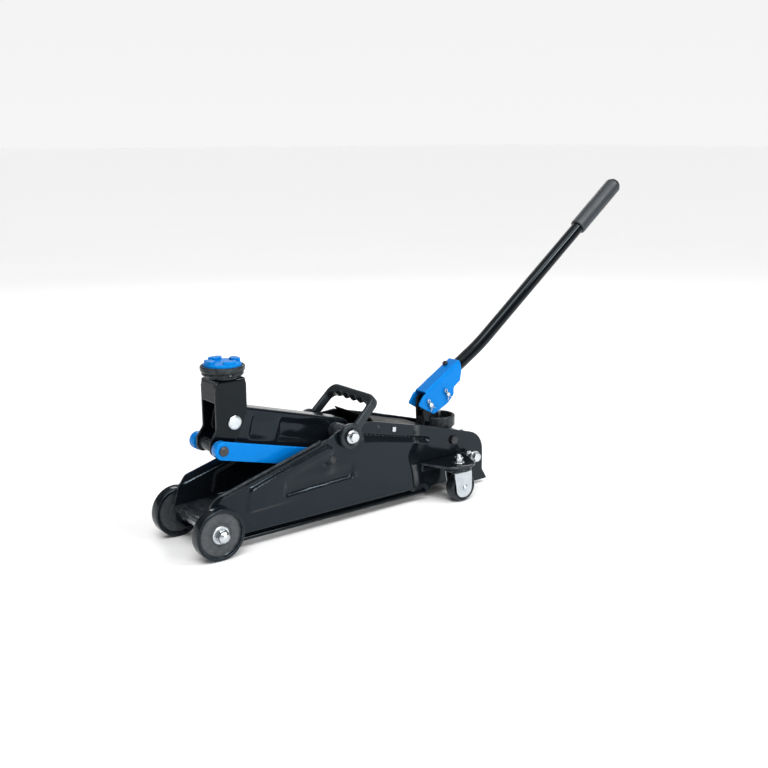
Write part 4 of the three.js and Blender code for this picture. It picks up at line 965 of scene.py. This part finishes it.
HALF_SOCKET = 12.3
socket_cheek = rounded([(-74.5, 9.5), (-79, 10.4, 1.5), (-95, 3, 3), (-87, -12, 5), (-78, -26, 4),
                        (-50, -29, 5), (-34, -25, 5), (-29, -16, 4), (-14, -15, 4), (-4, -3, 5),
                        (-0.4, 8, 2), (-0.4, 9.5)], 5, closed=False)
pins_at = [to_handle(*SOCKET_PIN), to_handle(*PLUNGER_PIN)]
socket = channel(socket_cheek, flat_top(HALF_SOCKET), HALF_SOCKET, 3.6, 2.5, 0.6, 1.3, None,
                 [(*pins_at[0], 3.6), (*pins_at[1], 3.1)])
piece("folded_handle_socket", "pump_handle", "blue_paint", [raise_handle(socket)], ["handle_socket"], 45)
screw = lathe([(0, 10), (2.5, 10), (2.5, 13), (4, 13, 0.4), (4, 16.2, 1), (1.8, 16.5), (1.6, 15), (0, 15)],
              "z", (-14, 4.5, 0), 32)
piece("socket_set_screw", "pump_handle", "dark_steel", [raise_handle(screw)], ["handle_lock_screw"])
cotter_y = -HALF_SOCKET - 3.2
for name, (u, v), radius in (("socket_pin", pins_at[0], 3.5), ("plunger_pin", pins_at[1], 3.0)):
    end = HALF_SOCKET
    shank = [(0, -end - 5.5), (radius, -end - 5.5, 0.7), (radius, end + 0.4), (radius + 2, end + 0.4, 0.5),
             (radius + 2, end + 3, 0.8), (0, end + 3)]
    piece(f"turned_{name}", "pump_handle", "zinc", [raise_handle(lathe(shank, "y", (u, 0, v), 40))], [name])
    reach = radius + 1
    leg = [(4.5, -reach - 4), (1.4, -reach - 1), (0.95, 0), (0.95, reach), (2.4, reach + 2.4)]
    legs = leg + [(0, reach + 4.6)] + [(-x, z) for x, z in reversed(leg)]
    wire = tube(curve([(u + x, cotter_y, v + z) for x, z in legs]), 0.75, 10)
    piece(f"bent_{name}_cotter", "pump_handle", "zinc", [raise_handle(wire)], [f"{name}_cotter"])

rise = radians(HANDLE_UPPER - HANDLE_LOWER)
BEND, GRIP_AT, END = 50.5, 312.0, 420.0


def tube_point(s):
    beyond = max(0.0, s - BEND)
    return (min(s, BEND) + beyond * math.cos(rise), 0, beyond * math.sin(rise))


tube_path = [tube_point(s) for s in (-30, -10, 10, 28)]
p0, p1, p2 = (Vector(tube_point(s)) for s in (BEND - 20, BEND, BEND + 20))
tube_path += [tuple(p0 * (1 - t) ** 2 + p1 * 2 * t * (1 - t) + p2 * t * t) for t in np.linspace(0, 1, 13)]
tube_path += [tube_point(s) for s in (80, 130, 200, 300, GRIP_AT + 59)]
# The handle tube takes the darker copy of the black paint, which is painted shade.
piece("drawn_handle_tube", "pump_handle", "black_paint", [raise_handle(tube(tube_path, 9.5, 56))],
      ["handle_tube"], look=SHADED_BLACK)
start = tube_point(GRIP_AT)
length = END - GRIP_AT
grip = lathe([(9.6, 0), (11.6, 0, 0.5), (12.5, 1.2, 0.8), (12.5, length - 7, 5), (8.5, length, 4),
              (0, length)], "x", (0, 0, 0), 72, 8)
slant = lever((start[0], start[2]), -(HANDLE_UPPER - HANDLE_LOWER))
piece("moulded_handle_grip", "pump_handle", "grip_rubber", [raise_handle(slant(grip))], ["handle_grip"])

# ---- Casters ----
SHELF_LOW, SHELF_HIGH = 52.5, 55.5
wall = REAR_HALF + 0.1
for name, side in SIDES:
    stem = (STEM_X, side * CASTER_Y, 0)
    shelf = rounded([(332, wall), (328, wall + 4, 2), (348, 88, 14), (STEM_X + 16, 94.5, 16), (404, 60, 8),
                     (404, wall)], 7)
    shelf[:, 1] *= side
    x0, x1 = both(wall, wall + SHEET, side)
    wall_plate = rounded([(332, 41, 3), (426, 41, 8), (426, SHELF_HIGH, 4), (332, SHELF_HIGH, 2)])
    gusset = rounded([(wall, 44.5, 1), (60, 50.5, 1), (60, SHELF_HIGH, 1), (wall, SHELF_HIGH, 1)])
    gusset[:, 0] *= side
    plates = [sheet(shelf, level(SHELF_LOW), 3, 0.6, 4),
              sheet(wall_plate, upright(x0, x1), SHEET, 0.6, 5),
              prism(gusset, along(400.6), 3, 0.5, 5)]
    piece(f"pressed_caster_bracket_{name}", "frame", "black_paint", plates, [f"caster_bracket_{name}"])
    bolt_at = on_axis(BRACKET_BOLT)
    bolt = [disc(3, "y", *both(32, 63, side), bolt_at, 0.4, 28),
            hexagon(6.4, "y", side * (wall + 3.2), side * (wall + 9), bolt_at),
            disc(8.5, "y", *both(58, 60, side), bolt_at, 0.5, 48),
            hexagon(6.8, "y", side * 59.6, side * 65.4, bolt_at)]
    piece(f"bracket_screw_{name}", "frame", "zinc", bolt, [f"bracket_bolt_{name}"])
    race = [(5.2, 46), (15.5, 46, 0.8), (18.2, 46.6, 1.6), (18.8, 49.6, 1.6), (16.8, 50.9, 0.6),
            (17.8, 51.4, 0.4), (17.8, 52.4, 0.4), (5.2, 52.4)]
    piece(f"stamped_caster_race_{name}", "frame", "black_paint", [lathe(race, "z", stem, 72, 3, True)],
          [f"caster_race_{name}"])
    fork_body = f"caster_fork_body_{name}"
    fork_cheek = rounded([(STEM_X - 15.6, 43.4), (STEM_X - 15.4, 40, 2), (STEM_X - 13.6, 33, 6),
                          (CASTER_X - 14, 7.5, 12.5), (CASTER_X + 12.5, 7.5, 12.5), (STEM_X + 16, 36, 5),
                          (STEM_X + 15.6, 43.4)], 8, closed=False)
    fork = channel(fork_cheek, flat_top(45.7), 11, 2.2, 1.8, 0.45, 1.3, None, [(CASTER_X, CASTER_R, 3.0)])
    v, f, w = fork
    v[:, 1] += side * CASTER_Y
    stem_parts = [(v, f, w), disc(5, "z", 44, 56, stem, 0.4, 32),
                  lathe([(0, 55.8), (9, 55.8, 0.3), (9, 57.3, 0.5), (0, 57.4)], "z", stem, 48),
                  hexagon(6.6, "z", 57.3, 64, stem), disc(3.4, "z", 62, 67.9, stem, 0.8, 28)]
    piece(f"pressed_caster_fork_{name}", fork_body, "zinc", stem_parts, [f"caster_fork_{name}"])
    axle_at = (CASTER_X, side * CASTER_Y, CASTER_R)
    rivet = [disc(2.9, "y", -11.8, 11.8, axle_at, 0.4, 28)]
    for _, way in SIDES:
        rivet.append(lathe([(0, way * 11), (4.4, way * 11, 0.2), (4.2, way * 12.2, 0.8),
                            (2, way * 12.9, 0.8), (0, way * 12.9)], "y", axle_at, 32))
    piece(f"riveted_caster_axle_{name}", fork_body, "zinc", rivet, [f"caster_axle_{name}"])
    r, half = CASTER_R, 8.0
    tread = mirrored([(3.2, -half), (7, -half, 0.5), (7.6, -half + 1.2, 0.4), (r - 4, -half + 1.2, 0.6),
                      (r - 3, -half, 0.6), (r - 1.6, -half, 1.2), (r, -half + 3, 2)])
    piece(f"moulded_caster_wheel_{name}", f"caster_wheel_body_{name}", "black_plastic",
          [lathe(tread, "y", axle_at, 80, 3, True)], [f"caster_wheel_{name}"])

# ---- CAD nodes that stay get a finish too ----
slots = {row["node"]: row["material_slot"] for row in frame["record"]["subparts"]}
for node, obj in frame["nodes"].items():
    for slot in obj.material_slots:
        slot.material = FINISHES[slots[node]]

# ---- Stage, light and camera ----
floor_mesh = bpy.data.meshes.new("studio_floor")
F = 40.0
floor_mesh.from_pydata([(-F, -F, 0), (F, -F, 0), (F, F, 0), (-F, F, 0)], [], [(0, 1, 2, 3)])
floor = add("studio_floor", floor_mesh)
floor_mesh.materials.append(finish("studio_floor", (0.94, 0.94, 0.94), (0.95, 0.95, 0.95), (0.7, 0.8), 0.0,
                                   (300, 0.01), mottle=3, specular=0.2))

world = bpy.data.worlds.new("studio")
bpy.context.scene.world = world
world.use_nodes = True
background = world.node_tree.nodes["Background"]
sky = world.node_tree.nodes.new("ShaderNodeTexCoord")
split = world.node_tree.nodes.new("ShaderNodeSeparateXYZ")
ramp = world.node_tree.nodes.new("ShaderNodeValToRGB")
# Brightness of the surroundings, from the horizon and below (0) to straight up (1).
SKY = ((0.0, 0.92), (0.13, 0.9), (0.2, 0.12), (0.5, 0.14), (0.72, 0.5), (1.0, 1.0))
stops = ramp.color_ramp.elements
for spot, _ in SKY[1:-1]:
    stops.new(spot)
for stop, (_, glow) in zip(stops, SKY):
    stop.color = (glow, glow, glow, 1)
world.node_tree.links.new(sky.outputs["Generated"], split.inputs[0])
world.node_tree.links.new(split.outputs["Z"], ramp.inputs[0])
world.node_tree.links.new(ramp.outputs[0], background.inputs[0])
background.inputs[1].default_value = 1.0


def softbox(name, place, aim, size, power):
    light = bpy.data.lights.new(name, "AREA")
    light.shape = "RECTANGLE"
    light.size, light.size_y = size
    light.energy = power
    lamp = add(name, light)
    lamp.location = place
    lamp.rotation_euler = (Vector(aim) - Vector(place)).to_track_quat("-Z", "Y").to_euler()


softbox("front_light", (0.14, -2.0, 0.62), (0, 0, 0.25), (0.26, 0.85), 17)
softbox("side_light", (0.62, -1.27, 1.69), (0, 0, 0.2), (0.6, 0.35), 15)
softbox("rim_light", (0.9, 1.5, 1.2), (0, 0, 0.15), (1.8, 0.3), 9)
sun = bpy.data.lights.new("overhead_light", "SUN")
sun.energy = 1.7
sun.angle = radians(34)
overhead = add("overhead_light", sun)
overhead.rotation_euler = Vector((-0.35, -0.45, 1)).to_track_quat("Z", "Y").to_euler()

camera_data = bpy.data.cameras.new("camera")
camera_data.sensor_width = 36
camera_data.lens = 49.65
camera_data.clip_start = 0.05
camera_data.clip_end = 100
camera = add("camera", camera_data)
CAMERA_AT = Vector(((-587.3 + SHIFT) / 1000, -1.1267, 0.5028))
CAMERA_AIM = Vector(((296.6 + SHIFT) / 1000, 0, 0.16611))
ROLL = -0.09
camera.matrix_world = (Matrix.Translation(CAMERA_AT)
                       @ (CAMERA_AIM - CAMERA_AT).to_track_quat("-Z", "Y").to_matrix().to_4x4()
                       @ Matrix.Rotation(radians(ROLL), 4, "Z"))
bpy.context.scene.camera = camera
bpy.context.scene.view_settings.view_transform = "Standard"
